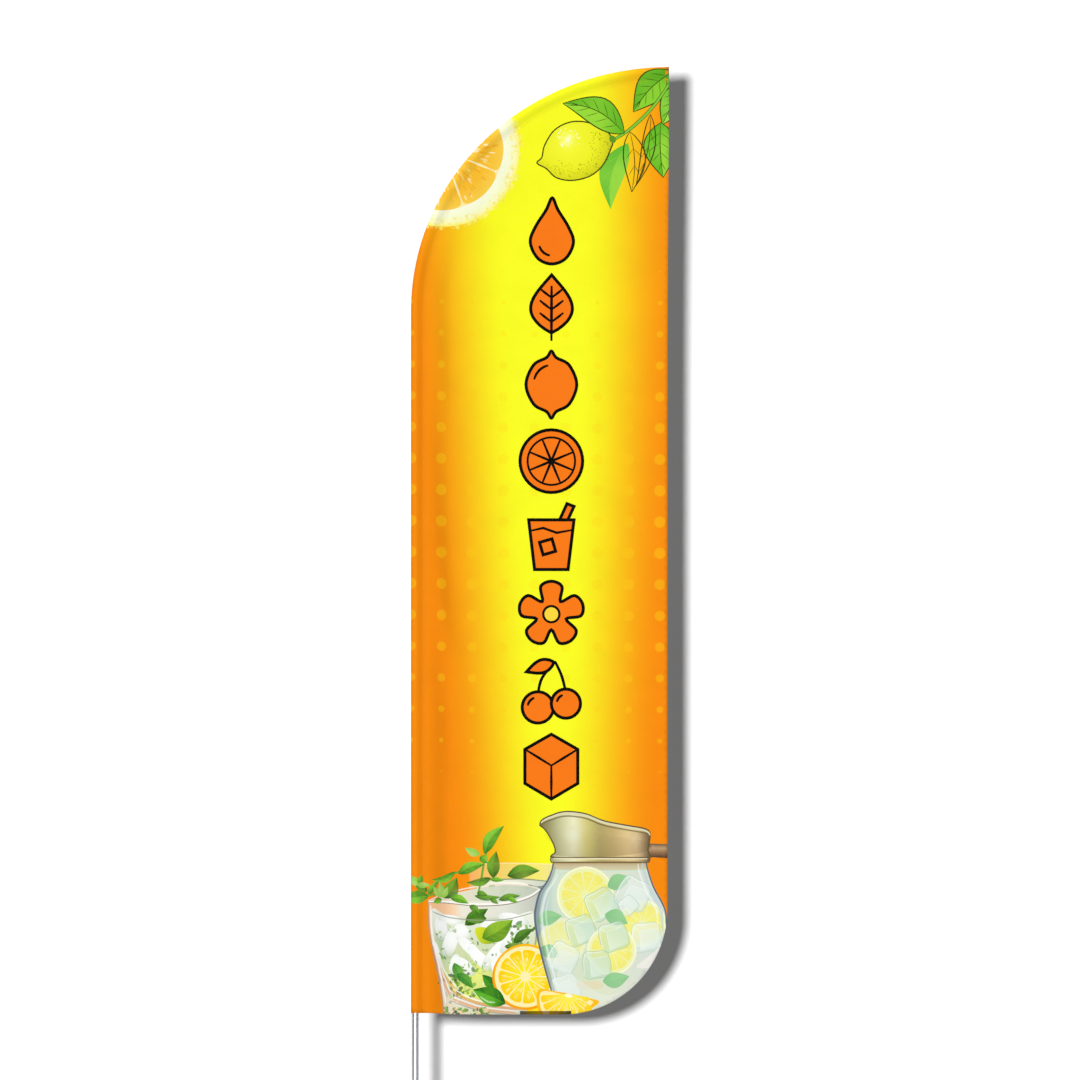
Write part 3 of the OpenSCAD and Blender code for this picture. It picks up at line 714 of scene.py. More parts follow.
def half_slice_in_front():
    """The flat half slice and the dark line of the table at the very bottom"""
    hub = (590, 76)
    patch([(480, 92), (540, 86), (600, 76), (660, 62), (704, 48), (676, 22), (620, -20), (520, -24),
           (476, 20)], (253, 190, 22))
    patch([(489, 84), (560, 77), (630, 63), (680, 48), (656, 22), (610, -14), (520, -14), (487, 24)],
          (255, 238, 170))
    flesh = around(hub, 110, (0.1, (252, 240, 70)), (1, (250, 204, 8)))
    for a in range(182, 350, 19):
        draw(wedge(hub, 10, 104 if a < 320 else 78, a, a + 18), flesh)
    rng = np.random.default_rng(31)
    for _ in range(60):
        a, out = math.radians(rng.uniform(192, 340)), rng.uniform(26, 74)
        cell = spoke(hub, a, out, out + rng.uniform(8, 16), 3)
        draw(ribbon(cell, 3, 0.3), (255, 250, 190, rng.uniform(0.3, 0.7)))
    draw(oval((590, 70), 15, 7, -10, 14), (255, 250, 210))
    draw([(410, 13), (600, 13), (600, -20), (410, -20)],
         along((410, 0), (600, 0), (0, (30, 14, 4, 0.9)), (0.45, (90, 50, 8, 0.8)), (1, (20, 10, 4, 0.95))))


def pulp_tone(rng):
    """Pale, dark or golden, by chance"""
    pick = rng.random()
    if pick < 0.45:
        return 255, 244, 196, rng.uniform(0.35, 0.85)
    return (238, 160, 30, 0.55) if pick < 0.75 else (252, 206, 84, 0.55)


def top_slice():
    """Pale citrus wheel cut by the curved edge"""
    centre = (119, 3197)
    rng = np.random.default_rng(9)
    draw(oval(centre, 284, n=90),
         around(centre, 286, (0.9, (252, 252, 236)), (0.95, (252, 248, 170)), (1, (250, 244, 90))))
    draw(oval(centre, 264, n=90),
         around(centre, 264, (0.8, (252, 252, 226)), (0.92, (248, 252, 214)), (1, (248, 250, 190))))
    draw(oval(centre, 222, n=80), (252, 236, 176))
    flesh = around(centre, 222, (0.2, (250, 206, 72)), (0.7, (246, 186, 42)), (1, (250, 206, 72)))
    for k in range(-2, 6):
        a0, a1 = -70 + 48 * k - 47.2, -70 + 48 * k - 0.8
        draw(wedge(centre, 12, 224, a0, a1), flesh)
        for _ in range(44):
            a, out = math.radians(rng.uniform(a0 + 3, a1 - 3)), rng.uniform(40, 190)
            cell = spoke(centre, a, out, out + rng.uniform(10, 34), 4)
            tone = pulp_tone(rng)
            draw(ribbon(cell, rng.uniform(4, 9), 0.3), tone)
    for _ in range(260):
        a, r = rng.uniform(-110, 75), 292 - 40 * rng.random() ** 1.6
        spot = (centre[0] + r * math.cos(math.radians(a)), centre[1] + r * math.sin(math.radians(a)))
        tone = ((252, 250, 150), (250, 236, 110), (248, 222, 84))[int(rng.integers(3))]
        draw(oval(spot, rng.uniform(2.5, 7), n=7), (*tone, rng.uniform(0.3, 0.65)))


for motif in (top_slice, lemon_on_branch, icons, tumblers, mint, fruit_in_front, pitcher,
              half_slice_in_front):
    motif()


# ---- Shape of the cloth ----

def edge_distance(s, h):
    """Distance from the pole edge, over the cloth"""
    z, x = np.maximum(h - BEND_H, 0), FLAG_W - s
    rho = np.maximum(np.hypot(x / FLAG_W, z / CURVE_RISE), 1e-6)
    slope = np.maximum(np.hypot(x / FLAG_W ** 2, z / CURVE_RISE ** 2) / rho, 1e-6)
    return np.where(z > 0, (1 - rho) / slope, s)


def pocket_depth(d):
    """How far the sleeve stands out from the seam's plane: round the pole, then straight to the seam"""
    reach = SEAM_AT - SLEEVE_R
    turn = math.acos(SLEEVE_R / reach)
    touch_d, touch_y = SLEEVE_R + SLEEVE_R * math.cos(turn), SLEEVE_R * math.sin(turn)
    bow = np.sqrt(np.maximum(SLEEVE_R ** 2 - (SLEEVE_R - d) ** 2, 0))
    straight = touch_y * np.clip((SEAM_AT - d) / (SEAM_AT - touch_d), 0, 1)
    return np.where(d < touch_d, bow, straight)


DRAPE_STEP = 0.03            # grid of the simulated cloth
DRAPE_LAST_FRAME = 45
DRAPE_LIMIT = np.array([0.006, 0.045, 0.006])
DRAPE_FREE_AT = 0.16         # from here inwards the cloth hangs freely
HELD_PAST_SEAM = 0.01
GRID_SPARE = 0.02            # the grid may reach this far past the pole edge


def trial_cloth():
    """A coarse flat cloth, held along its sleeve; also the grid's places, the ones it uses, and its shape"""
    cols, rows = int(FLAG_W / DRAPE_STEP) + 2, int(FLAG_H / DRAPE_STEP) + 2
    s, h = np.meshgrid(np.linspace(0, FLAG_W, cols), np.linspace(0, FLAG_H, rows))
    flat_grid = np.stack([s, np.zeros_like(s), h], axis=-1).reshape(-1, 3)
    from_pole = edge_distance(s, h).ravel()
    quads = [quad for quad in grid_faces(rows, cols) if all(from_pole[q] > -GRID_SPARE for q in quad)]
    used = sorted({q for quad in quads for q in quad})
    number = {q: i for i, q in enumerate(used)}
    cloth = mesh_object("drape_trial", flat_grid[used], [[number[q] for q in quad] for quad in quads])
    held = cloth.vertex_groups.new(name="held")
    held.add([number[q] for q in used if from_pole[q] < SEAM_AT + HELD_PAST_SEAM], 1.0, "REPLACE")
    return cloth, flat_grid, used, (rows, cols)


def give_cloth_physics(cloth):
    """Light knitted cloth that hardly stretches and creases softly"""
    sim = cloth.modifiers.new("Cloth", "CLOTH")
    sim.settings.quality = 6
    sim.settings.mass = 0.12
    sim.settings.air_damping = 1.5
    sim.settings.tension_stiffness = 12
    sim.settings.compression_stiffness = 12
    sim.settings.shear_stiffness = 4
    sim.settings.bending_stiffness = 0.4
    sim.settings.vertex_group_mass = "held"
    sim.settings.shrink_min = -0.006
    sim.collision_settings.use_collision = False
    sim.point_cache.frame_start, sim.point_cache.frame_end = 1, 60


def light_air():
    """A breeze from the front, a little from the right"""
    bpy.ops.object.effector_add(type="WIND", location=(0.3, -2.0, 1.8),
                                rotation=(math.radians(-90), 0, math.radians(12)))
    wind = bpy.context.object
    wind.field.strength, wind.field.flow, wind.field.noise, wind.field.seed = 90, 0.5, 1.5, 5
    return wind


def gaps_filled(moved):
    """The grid's movement, carried on past the cloth's outline from the neighbours that have one"""
    for _ in range(40):
        gaps = np.isnan(moved[..., 0])
        if not gaps.any():
            break
        neighbours = np.stack([np.roll(moved, shift, axis) for axis in (0, 1) for shift in (-1, 1)])
        known = ~np.isnan(neighbours)
        total, count = np.where(known, neighbours, 0).sum(axis=0), known.sum(axis=0)
        moved[gaps] = np.where(count > 0, total / np.maximum(count, 1), np.nan)[gaps]
    return moved


def drape_by_simulation():
    """Lets a coarse cloth hang from the sleeve in light air, and returns how far each grid point moved"""
    cloth, flat_grid, used, shape = trial_cloth()
    give_cloth_physics(cloth)
    wind = light_air()
    scene = bpy.context.scene
    for number in range(1, DRAPE_LAST_FRAME + 1):
        scene.frame_set(number)
    evaluated = cloth.evaluated_get(bpy.context.evaluated_depsgraph_get())
    moved = np.full(flat_grid.shape, np.nan)
    moved[used] = np.array([v.co for v in evaluated.data.vertices]) - flat_grid[used]
    for extra in (cloth, wind):
        bpy.data.objects.remove(extra, do_unlink=True)
    scene.frame_set(1)
    return gaps_filled(moved.reshape(*shape, 3))


def softened(field, rounds):
    """A grid field with each point drawn towards its neighbours"""
    for _ in range(rounds):
        padded = np.pad(field, ((1, 1), (1, 1), (0, 0)), mode="edge")
        field = (padded[:-2, 1:-1] + padded[2:, 1:-1] + padded[1:-1, :-2] + padded[1:-1, 2:] + 4 * field) / 8
    return field


def cubic(field, u, v):
    """Smooth reading of a grid field at fractional columns u and rows v"""
    rows, cols = field.shape[:2]
    iu, iv = np.clip(np.floor(u).astype(int), 0, cols - 2), np.clip(np.floor(v).astype(int), 0, rows - 2)
    fu, fv = u - iu, v - iv

    def weights(f):
        return [(-f ** 3 + 2 * f ** 2 - f) / 2, (3 * f ** 3 - 5 * f ** 2 + 2) / 2,
                (-3 * f ** 3 + 4 * f ** 2 + f) / 2, (f ** 3 - f ** 2) / 2]

    total = 0
    for j, wv in enumerate(weights(fv)):
        for i, wu in enumerate(weights(fu)):
            cell = field[np.clip(iv + j - 1, 0, rows - 1), np.clip(iu + i - 1, 0, cols - 1)]
            total = total + cell * (wu * wv)[:, None]
    return total


DRAPE = softened(drape_by_simulation(), 3)


def pole_edge_near(s, h):
    """Nearest point of the pole edge to each flat point, and the way inwards from it"""
    x, z = s - FLAG_W, h - BEND_H
    a = np.clip(np.arctan2(z / CURVE_RISE, -x / FLAG_W), 0, np.pi / 2)
    for _ in range(6):
        c, n = np.cos(a), np.sin(a)
        off_x, off_z = x + FLAG_W * c, z - CURVE_RISE * n
        pull = off_x * FLAG_W * n + off_z * CURVE_RISE * c
        give = -(FLAG_W * n) ** 2 - (CURVE_RISE * c) ** 2 + off_x * FLAG_W * c - off_z * CURVE_RISE * n
        a = np.clip(a - pull / np.minimum(give, -0.05), 0, np.pi / 2)
    curved = h > BEND_H
    near = np.stack([np.where(curved, FLAG_W - FLAG_W * np.cos(a), 0),
                     np.where(curved, BEND_H + CURVE_RISE * np.sin(a), h)], axis=1)
    inward = np.stack([np.where(curved, CURVE_RISE * np.cos(a), 1),
                       np.where(curved, -FLAG_W * np.sin(a), 0)], axis=1)
    return near, inward / np.linalg.norm(inward, axis=1)[:, None]


def past_edge(s, h):
    """True where a flat point belongs to the part that folds round to the sleeve's back"""
    x, z = (FLAG_W - s) / FLAG_W, (h - BEND_H) / CURVE_RISE
    return np.where(h > BEND_H, np.hypot(x, z) > 1 + 1e-6, s < -1e-6)


FOLD_LIFT = 0.0014           # how far the folded-back cloth lies behind the seam's plane
SLEEVE_CLOSES = 0.012        # the sleeve goes flat over this much at its upper end
AT_EDGE = 0.0004             # points nearer to the pole edge than this lie on it


def cloth_point(s, h, proud=0.0):
    """Place in the world of a point of the flat cloth, lifted outwards by proud; past the pole edge it lies
    on the sleeve's back
    """
    s, h = np.asarray(s, float), np.asarray(h, float)
    near, inward = pole_edge_near(s, h)
    folded = past_edge(s, h)
    d = np.where(folded, np.hypot(s - near[:, 0], h - near[:, 1]), np.maximum(edge_distance(s, h), 0))
    d = np.where(d < AT_EDGE, 0, d)
    at = np.where(folded[:, None], near + inward * d[:, None], np.stack([s, h], axis=1))
    at[:, 0] = np.clip(at[:, 0], 0, FLAG_W)
    at[:, 1] = np.clip(at[:, 1], 0, FLAG_H)
    rows, cols = DRAPE.shape[:2]
    move = cubic(DRAPE, at[:, 0] / FLAG_W * (cols - 1), at[:, 1] / FLAG_H * (rows - 1))
    move = DRAPE_LIMIT * np.tanh(move / DRAPE_LIMIT) * smoothstep(SEAM_AT, DRAPE_FREE_AT, d)[:, None]
    side = np.where(folded, 1.0, -1.0)
    closed = smoothstep(0.0, SLEEVE_CLOSES, FLAG_W - at[:, 0])
    lift = np.where(folded, FOLD_LIFT * np.clip(d / SEAM_AT, 0, 1), 0)
    y = side * pocket_depth(d) * closed + lift + side * proud
    return np.stack([FLAG_X + at[:, 0], y, FLAG_Z + at[:, 1]], axis=1) + move


def pole_edge(step=0.022):
    """Points of the pole edge and their inward normals, from the bottom to the tip"""
    straight = np.linspace(0, BEND_H, int(BEND_H / step) + 1)
    a = np.radians(np.linspace(0, 90, 64)[1:])
    s = np.concatenate([0 * straight, FLAG_W - FLAG_W * np.cos(a)])
    h = np.concatenate([straight, BEND_H + CURVE_RISE * np.sin(a)])
    return np.stack([s, h], axis=1), pole_edge_near(s, h)[1]


def free_edge(inset=0.0, step=0.02):
    """Points of the bottom, the rounded corner and the free edge, from the pole to the tip"""
    r = CORNER_R - inset
    corner = arc((FLAG_W - CORNER_R, CORNER_R), r, r, -90, 0, 31)
    bottom = np.linspace(0, FLAG_W - CORNER_R, int((FLAG_W - CORNER_R) / step))[:-1]
    up = np.linspace(CORNER_R, FLAG_H, int((FLAG_H - CORNER_R) / step))[1:]
    return np.concatenate([np.stack([bottom, 0 * bottom + inset], axis=1), corner,
                           np.stack([0 * up + FLAG_W - inset, up], axis=1)])


# Lines that shape the sleeve, by their distance from the pole edge: round the pole, then on to the seam
ROUND_POLE = [SLEEVE_R * (1 - math.cos(math.radians(a))) for a in (24, 44, 62, 80, 98, 118)]
POCKET_ROWS = ROUND_POLE + [0.032, 0.039, SEAM_AT]
LAYOUT_STEP = 16.0           # spacing of the cloth's inner points, in millimetres
EDGE_SPARE, CORNER_SPARE = 0.006, 0.005
TINY_AREA = 1e-4             # triangles under this, in square millimetres, are left out


def off_corner(s, h, spare=0.0):
    """True where a point lies outside the rounded lower corner"""
    x, z = s - (FLAG_W - CORNER_R), CORNER_R - h
    return (x > 0) & (z > 0) & (np.hypot(x, z) > CORNER_R - spare)


def layout_lines():
    """Points and edges of the cloth's outline, the sleeve's lines and every outline of the print"""
    points, edges = [], []

    def add(path, closed):
        first = len(points)
        points.extend(Vector(p) for p in path)
        n = len(path)
        edges.extend((first + i, first + (i + 1) % n) for i in range(n if closed else n - 1))

    base, inward = pole_edge()
    outer = base - inward * POCKET_END
    add(np.concatenate([free_edge(), base[-1:], outer[::-1]]) / MM, True)
    add(base / MM, False)
    for d in POCKET_ROWS:
        add((base + inward * d) / MM, False)
        add((base - inward * d) / MM, False)
    for outline, _ in ART:
        add(outline, True)
    return points, edges


def inner_points():
    """Points in staggered rows over the cloth, clear of its edges, so that it can drape"""
    s, h = np.meshgrid(np.arange(LAYOUT_STEP, FLAG_W / MM, LAYOUT_STEP),
                       np.arange(LAYOUT_STEP / 2, FLAG_H / MM, LAYOUT_STEP))
    s[1::2] += LAYOUT_STEP / 2
    s, h = s.ravel() * MM, h.ravel() * MM
    keep = (edge_distance(s, h) > SEAM_AT + EDGE_SPARE) & (s < FLAG_W - EDGE_SPARE)
    keep &= ~off_corner(s, h, CORNER_SPARE)
    return [Vector((a, b)) for a, b in zip(s[keep] / MM, h[keep] / MM)]


def on_the_cloth(s, h):
    """True where a flat point lies on the flag or on the part that folds back"""
    near, _ = pole_edge_near(s, h)
    in_fold = past_edge(s, h) & (np.hypot(s - near[:, 0], h - near[:, 1]) < POCKET_END)
    return (s < FLAG_W) & (h > 0) & ~off_corner(s, h) & (in_fold | ~past_edge(s, h))


def cloth_layout():
    """Triangles of the flat cloth, its fold-over included, cut along every line; and its area in m2"""
    points, edges = layout_lines()
    verts, _, faces, *_ = delaunay_2d_cdt(points + inner_points(), edges, [], 0, 1e-3, False)
    flat_verts = np.array([(v.x, v.y) for v in verts])
    faces = np.array([f for f in faces if len(f) == 3], int)
    faces = faces[on_the_cloth(*(flat_verts[faces].mean(axis=1) * MM).T)]
    a, b, c = (flat_verts[faces[:, k]] for k in range(3))
    twice_area = (b[:, 0] - a[:, 0]) * (c[:, 1] - a[:, 1]) - (b[:, 1] - a[:, 1]) * (c[:, 0] - a[:, 0])
    faces[twice_area < 0] = faces[twice_area < 0][:, ::-1]
    twice_area = np.abs(twice_area)
    real = twice_area > TINY_AREA
    used, faces = np.unique(faces[real], return_inverse=True)
    area = twice_area[real].sum() / 2 * MM ** 2
    return flat_verts[used], faces.reshape(-1, 3), float(area)


# The print's ground: orange at both sides, yellow between two leaning lines
GROUND_ORANGE, GROUND_YELLOW = ink(247, 138, 9), ink(247, 250, 34)
LEFT_EDGE = (0.165, 2.83, 0.080)        # half-way line at the left: place, height it is given at, lean
RIGHT_EDGE = (0.822, 2.60, 0.046)       # the same at the right, upright above that height
GROUND_FADE = 0.19                      # from a half-way line to plain colour
DISPLAY_GAMMA = 2.2                     # the two colours are blended as they look


def within(outline, p):
    """Which points lie inside an outline"""
    x0, y0 = outline[:, 0], outline[:, 1]
    x1, y1 = np.roll(x0, -1), np.roll(y0, -1)
    inside = np.zeros(len(p), bool)
    for a, b, c, d in zip(x0, y0, x1, y1):
        if b != d:
            inside ^= ((b > p[:, 1]) != (d > p[:, 1])) & (p[:, 0] < (c - a) * (p[:, 1] - b) / (d - b) + a)
    return inside


def ground_colour(s, h):
    """The print's ground, orange to yellow, as the cloth's material makes it"""
    s, h = s * MM, h * MM
    left = LEFT_EDGE[0] + (LEFT_EDGE[1] - h) * LEFT_EDGE[2]
    right = RIGHT_EDGE[0] - np.maximum(RIGHT_EDGE[1] - h, 0) * RIGHT_EDGE[2]
    rise = smoothstep(left - GROUND_FADE, left + GROUND_FADE, s)
    sink = 1 - smoothstep(right - GROUND_FADE, right + GROUND_FADE, s)
    orange, yellow = (colour ** (1 / DISPLAY_GAMMA) for colour in (GROUND_ORANGE, GROUND_YELLOW))
    return (orange + (yellow - orange) * (rise * sink)[:, None]) ** DISPLAY_GAMMA


def print_colours(verts, faces):
    """Colour at each corner of each triangle; alpha 0 leaves the ground"""
    middle = verts[faces].mean(axis=1)
    corners = verts[faces].reshape(-1, 2)
    colour = ground_colour(corners[:, 0], corners[:, 1]).reshape(-1, 3, 4)
    colour[..., 3] = 0
    for outline, paint in ART:
        low, high = outline.min(0), outline.max(0)
        near = np.nonzero(((middle >= low) & (middle <= high)).all(axis=1))[0]
        hit = near[within(outline, middle[near])]
        if len(hit):
            new = paint(verts[faces[hit]].reshape(-1, 2)).reshape(-1, 3, 4)
            a = new[..., 3:]
            colour[hit, :, :3] = colour[hit, :, :3] * (1 - a) + new[..., :3] * a
            colour[hit, :, 3] = 1
    return colour


def make_flag_cloth(front, back):
    """The one piece of cloth, hung in place, with its print; returns it and its cut area"""
    flat_verts, faces, area = cloth_layout()
    piece = mesh_object("flag_cloth", cloth_point(*(flat_verts.T * MM)), faces, front)
    piece.data.materials.append(back)
    uv = piece.data.uv_layers.new(name="flat")
    uv.data.foreach_set("uv", (flat_verts[faces.ravel()] * MM).ravel())
    printed = piece.data.color_attributes.new("print", "FLOAT_COLOR", "CORNER")
    printed.data.foreach_set("color", print_colours(flat_verts, faces).ravel())
    solid = piece.modifiers.new("thickness", "SOLIDIFY")
    solid.thickness, solid.offset = CLOTH_T, -1
    solid.material_offset, solid.material_offset_rim = 1, 0
    return finish_modifiers(piece), area


# The hem's section: distance in from the edge, and height behind the cloth
HEM_SECTION = ((0.0003, 0.0006), (0.0012, 0.0015), (0.006, 0.0016), (0.0135, 0.0016), (0.015, 0.0012))


def make_hem(material):
    """The edge turned over to the back along the bottom, the corner and the free edge"""
    edge, inner = free_edge(), free_edge(0.1)
    way = (inner - edge) / 0.1
    start = int(np.argmax(edge[:, 0] > POCKET_END))
    edge, way = edge[start:], way[start:]
    verts, flats = [], []
    for inset, proud in HEM_SECTION:
        verts.append(cloth_point(*(edge + way * inset).T) + (0, proud, 0))
        flats.append(edge - way * inset)
    verts, flats = np.concatenate(verts), np.concatenate(flats)
    faces = [face[::-1] for face in grid_faces(len(HEM_SECTION), len(edge))]
    piece = mesh_object("flag_hem", verts, faces, material)
    loops = piece.data.loops
    uv = piece.data.uv_layers.new(name="flat")
    uv.data.foreach_set("uv", flats[[loop.vertex_index for loop in loops]].ravel())
    printed = piece.data.color_attributes.new("print", "FLOAT_COLOR", "CORNER")
    printed.data.foreach_set("color", [0.0] * 4 * len(loops))
    if piece.data.polygons[10].normal.y < 0:
        piece.data.flip_normals()
    solid = piece.modifiers.new("thickness", "SOLIDIFY")
    solid.thickness, solid.offset = CLOTH_T, -1
    return finish_modifiers(piece)


# ---- Stitches, webbing and cord ----

def stitch_tree():
    """Stitches along every line of a mesh of edges"""
    tree = bpy.data.node_groups.new("stitch_rows", "GeometryNodeTree")
    for label, kind, direction, default in (
        ("Geometry", "NodeSocketGeometry", "INPUT", None), ("Pitch", "NodeSocketFloat", "INPUT", 0.005),
        ("Stitch length", "NodeSocketFloat", "INPUT", 0.0036), ("Thread", "NodeSocketFloat", "INPUT", 0.0008),
        ("Material", "NodeSocketMaterial", "INPUT", None), ("Geometry", "NodeSocketGeometry", "OUTPUT", None),
    ):
        socket = tree.interface.new_socket(label, in_out=direction, socket_type=kind)
        if default is not None:
            socket.default_value = default
    new, link = tree.nodes.new, tree.links.new
    given, out = new("NodeGroupInput").outputs, new("NodeGroupOutput").inputs
    rows = new("GeometryNodeMeshToCurve")
    link(given["Geometry"], rows.inputs["Mesh"])
    spaced = new("GeometryNodeResampleCurve")
    spaced.mode = "LENGTH"
    link(rows.outputs[0], spaced.inputs["Curve"])
    link(given["Pitch"], spaced.inputs["Length"])
    bead = new("GeometryNodeMeshIcoSphere")
    bead.inputs["Radius"].default_value = 0.5
    bead.inputs["Subdivisions"].default_value = 1
    size = new("ShaderNodeCombineXYZ")
    link(given["Thread"], size.inputs[0])
    link(given["Thread"], size.inputs[1])
    link(given["Stitch length"], size.inputs[2])
    shaped = new("GeometryNodeTransform")
    link(bead.outputs["Mesh"], shaped.inputs["Geometry"])
    link(size.outputs[0], shaped.inputs["Scale"])
    turned_to = new("FunctionNodeAlignRotationToVector")
    turned_to.axis = "Z"
    link(new("GeometryNodeInputTangent").outputs[0], turned_to.inputs["Vector"])
    placed = new("GeometryNodeInstanceOnPoints")
    link(spaced.outputs[0], placed.inputs["Points"])
    link(shaped.outputs[0], placed.inputs["Instance"])
    link(turned_to.outputs[0], placed.inputs["Rotation"])
    real = new("GeometryNodeRealizeInstances")
    link(placed.outputs[0], real.inputs[0])
    finished = new("GeometryNodeSetMaterial")
    link(real.outputs[0], finished.inputs["Geometry"])
    link(given["Material"], finished.inputs["Material"])
    link(finished.outputs[0], out["Geometry"])
    return tree


STITCHES = stitch_tree()
FLAG_STITCH = {"Pitch": 0.0055, "Stitch length": 0.0042, "Thread": 0.0007}
STRAP_STITCH = {"Pitch": 0.003, "Stitch length": 0.0024, "Thread": 0.0006}


def make_stitches(name, rows, material, sizes):
    """One mesh of stitches along rows of world points"""
    verts, edges = [], []
    for row in rows:
        edges += [(len(verts) + i, len(verts) + i + 1) for i in range(len(row) - 1)]
        verts += [tuple(p) for p in row]
    mesh = bpy.data.meshes.new(name)
    mesh.from_pydata(verts, edges, [])
    piece = bpy.data.objects.new(name, mesh)
    bpy.context.scene.collection.objects.link(piece)
    sewn = piece.modifiers.new("stitches", "NODES")
    sewn.node_group = STITCHES
    values = {**sizes, "Material": material}
    for item in STITCHES.interface.items_tree:
        if item.in_out == "INPUT" and item.name in values:
            sewn[item.identifier] = values[item.name]
    finish_modifiers(piece)
    piece.data.polygons.foreach_set("use_smooth", [True] * len(piece.data.polygons))
    return piece


SEAM_ROWS = (SEAM_AT + 0.001, SEAM_AT + 0.006)
HEM_ROW = 0.0125             # the hem's row, from the edge
THREAD_LIFT = 0.0001         # how far stitches stand out of the cloth
BEHIND_HEM = 0.0017


def seam_rows():
    """Where the flag's cloth is sewn, front and back"""
    rows = []
    base, inward = pole_edge()
    low, high = np.argmax(base[:, 1] > 0.004), len(base) - 3
    for d in SEAM_ROWS:
        for way in (inward, -inward):
            rows.append(cloth_point(*(base + way * d)[low:high].T, proud=THREAD_LIFT))
    hem = free_edge(HEM_ROW)
    hem = hem[np.argmax(hem[:, 0] > 0.004):]
    on_cloth = cloth_point(*hem.T)
    rows.append(on_cloth - (0, THREAD_LIFT, 0))
    past_fold = np.argmax(hem[:, 0] > POCKET_END)
    rows.append(on_cloth[past_fold:] + (0, BEHIND_HEM, 0))
    return rows


def sewn_box(corners):
    """A sewn rectangle with its two diagonals; corners in order round it"""
    a, b, c, d = (np.array(corner, float) for corner in corners)
    return [[a, b, c, d, a], [a, c], [b, d]]


WEBBING_T, TAB_WIDTH = 0.0011, 0.020
PATCH_COLUMNS, PATCH_ROWS, PATCH_INSET = 15, 12, 0.003


def rounded_strap(name, path, way, width, thick, material):
    """A flat strap of webbing along a path, across the given way, with soft edges"""
    path = np.asarray(path, float)
    way = np.asarray(way, float)
    tangent = np.gradient(path, axis=0)
    out = np.cross(tangent, way)
    out /= np.linalg.norm(out, axis=1)[:, None]
    half, t = width / 2, thick / 2
    section = [(-half, 0), (-half + t * 0.4, -t * 0.8), (-half + t, -t), (half - t, -t),
               (half - t * 0.4, -t * 0.8), (half, 0), (half - t * 0.4, t * 0.8), (half - t, t),
               (-half + t, t), (-half + t * 0.4, t * 0.8)]
    verts = [p + way * a + n * b for p, n in zip(path, out) for a, b in section]
    k = len(section)
    faces = [(r * k + i, r * k + (i + 1) % k, (r + 1) * k + (i + 1) % k, (r + 1) * k + i)
             for r in range(len(path) - 1) for i in range(k)]
    faces += [tuple(range(k))[::-1], tuple(range((len(path) - 1) * k, len(path) * k))]
    piece = mesh_object(name, verts, faces, material)
    recalculated(piece)
    return piece


def recalculated(piece):
    """Faces turned outwards"""
    work = bmesh.new()
    work.from_mesh(piece.data)
    bmesh.ops.recalc_face_normals(work, faces=work.faces)
    work.to_mesh(piece.data)
    work.free()


def tab_path():
    """Route of the tab's webbing as (y, z), down the sleeve's back, round the ring's wire and back up; and
    where its stitches lie: y, lowest z and highest z
    """
    ring_low, ring_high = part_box("tab_ring")
    ring_y, ring_z = (ring_low.y + ring_high.y) / 2, ring_high.z - WIRE_R
    low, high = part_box("tether_tab")
    r = WIRE_R + 0.0009
    top = high.z - 0.001
    bend = [(ring_y + r * math.cos(a), ring_z + r * math.sin(a))
            for a in np.linspace(math.pi, 2 * math.pi, 13)]
    inner = [(low.y + 0.0008, top), (low.y + 0.0008, ring_z + 0.034), (low.y + 0.0012, ring_z + 0.022),
             (ring_y - r - 0.0012, ring_z + 0.008)]
    outer = [(ring_y + r - 0.0004, ring_z + 0.008), (low.y + 0.0030, ring_z + 0.026),
             (low.y + 0.0021, ring_z + 0.034), (low.y + 0.0020, top - 0.004)]
    return inner + bend + outer, low.y + 0.0026, ring_z + 0.038, top - 0.008


def make_tab(material):
    """The folded webbing tab, and the rows of stitches that hold it together"""
    route, sewn_y, sewn_low, sewn_top = tab_path()
    path = [(0, y, z) for y, z in route]
    smooth = []
    for k in range(len(path) - 1):
        smooth += list(np.linspace(path[k], path[k + 1], 4)[:-1])
    smooth.append(path[-1])
    strap = rounded_strap("tether_webbing", smooth, (1, 0, 0), TAB_WIDTH, WEBBING_T, material)
    half = 0.0075
    return strap, sewn_box([(-half, sewn_y, sewn_low), (half, sewn_y, sewn_low),
                            (half, sewn_y, sewn_top), (-half, sewn_y, sewn_top)])


def patch_grid():
    """Points of the tip patch: columns along the curved edge, rows down from it"""
    low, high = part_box("tip_patch")
    columns = []
    for x in np.linspace(low.x, high.x, PATCH_COLUMNS) - FLAG_X:
        near, inward = pole_edge_near(np.array([x]), np.array([FLAG_H]))
        down = np.linspace(PATCH_INSET, PATCH_INSET + high.z - low.z, PATCH_ROWS)
        columns.append([cloth_point(*(near - inward * d).T, proud=WEBBING_T)[0] for d in down])
    return np.array(columns)


def patch_stitches(grid):
    """A row round the patch, one step in from its edge, and two diagonals"""
    last_col, last_row = PATCH_COLUMNS - 2, PATCH_ROWS - 2
    ring = [grid[i, 1] for i in range(1, last_col + 1)] + [grid[last_col, j] for j in range(1, last_row + 1)]
    ring += [grid[i, last_row] for i in range(last_col, 0, -1)] + [grid[1, j] for j in range(last_row, 0, -1)]
    rows = np.linspace(1, last_row, last_col)
    row = np.minimum(rows.astype(int), last_row - 1)
    part = (rows - row)[:, None]
    diagonals = [grid[cols, row] * (1 - part) + grid[cols, row + 1] * part
                 for cols in (np.arange(1, last_col + 1), np.arange(last_col, 0, -1))]
    return [ring] + diagonals


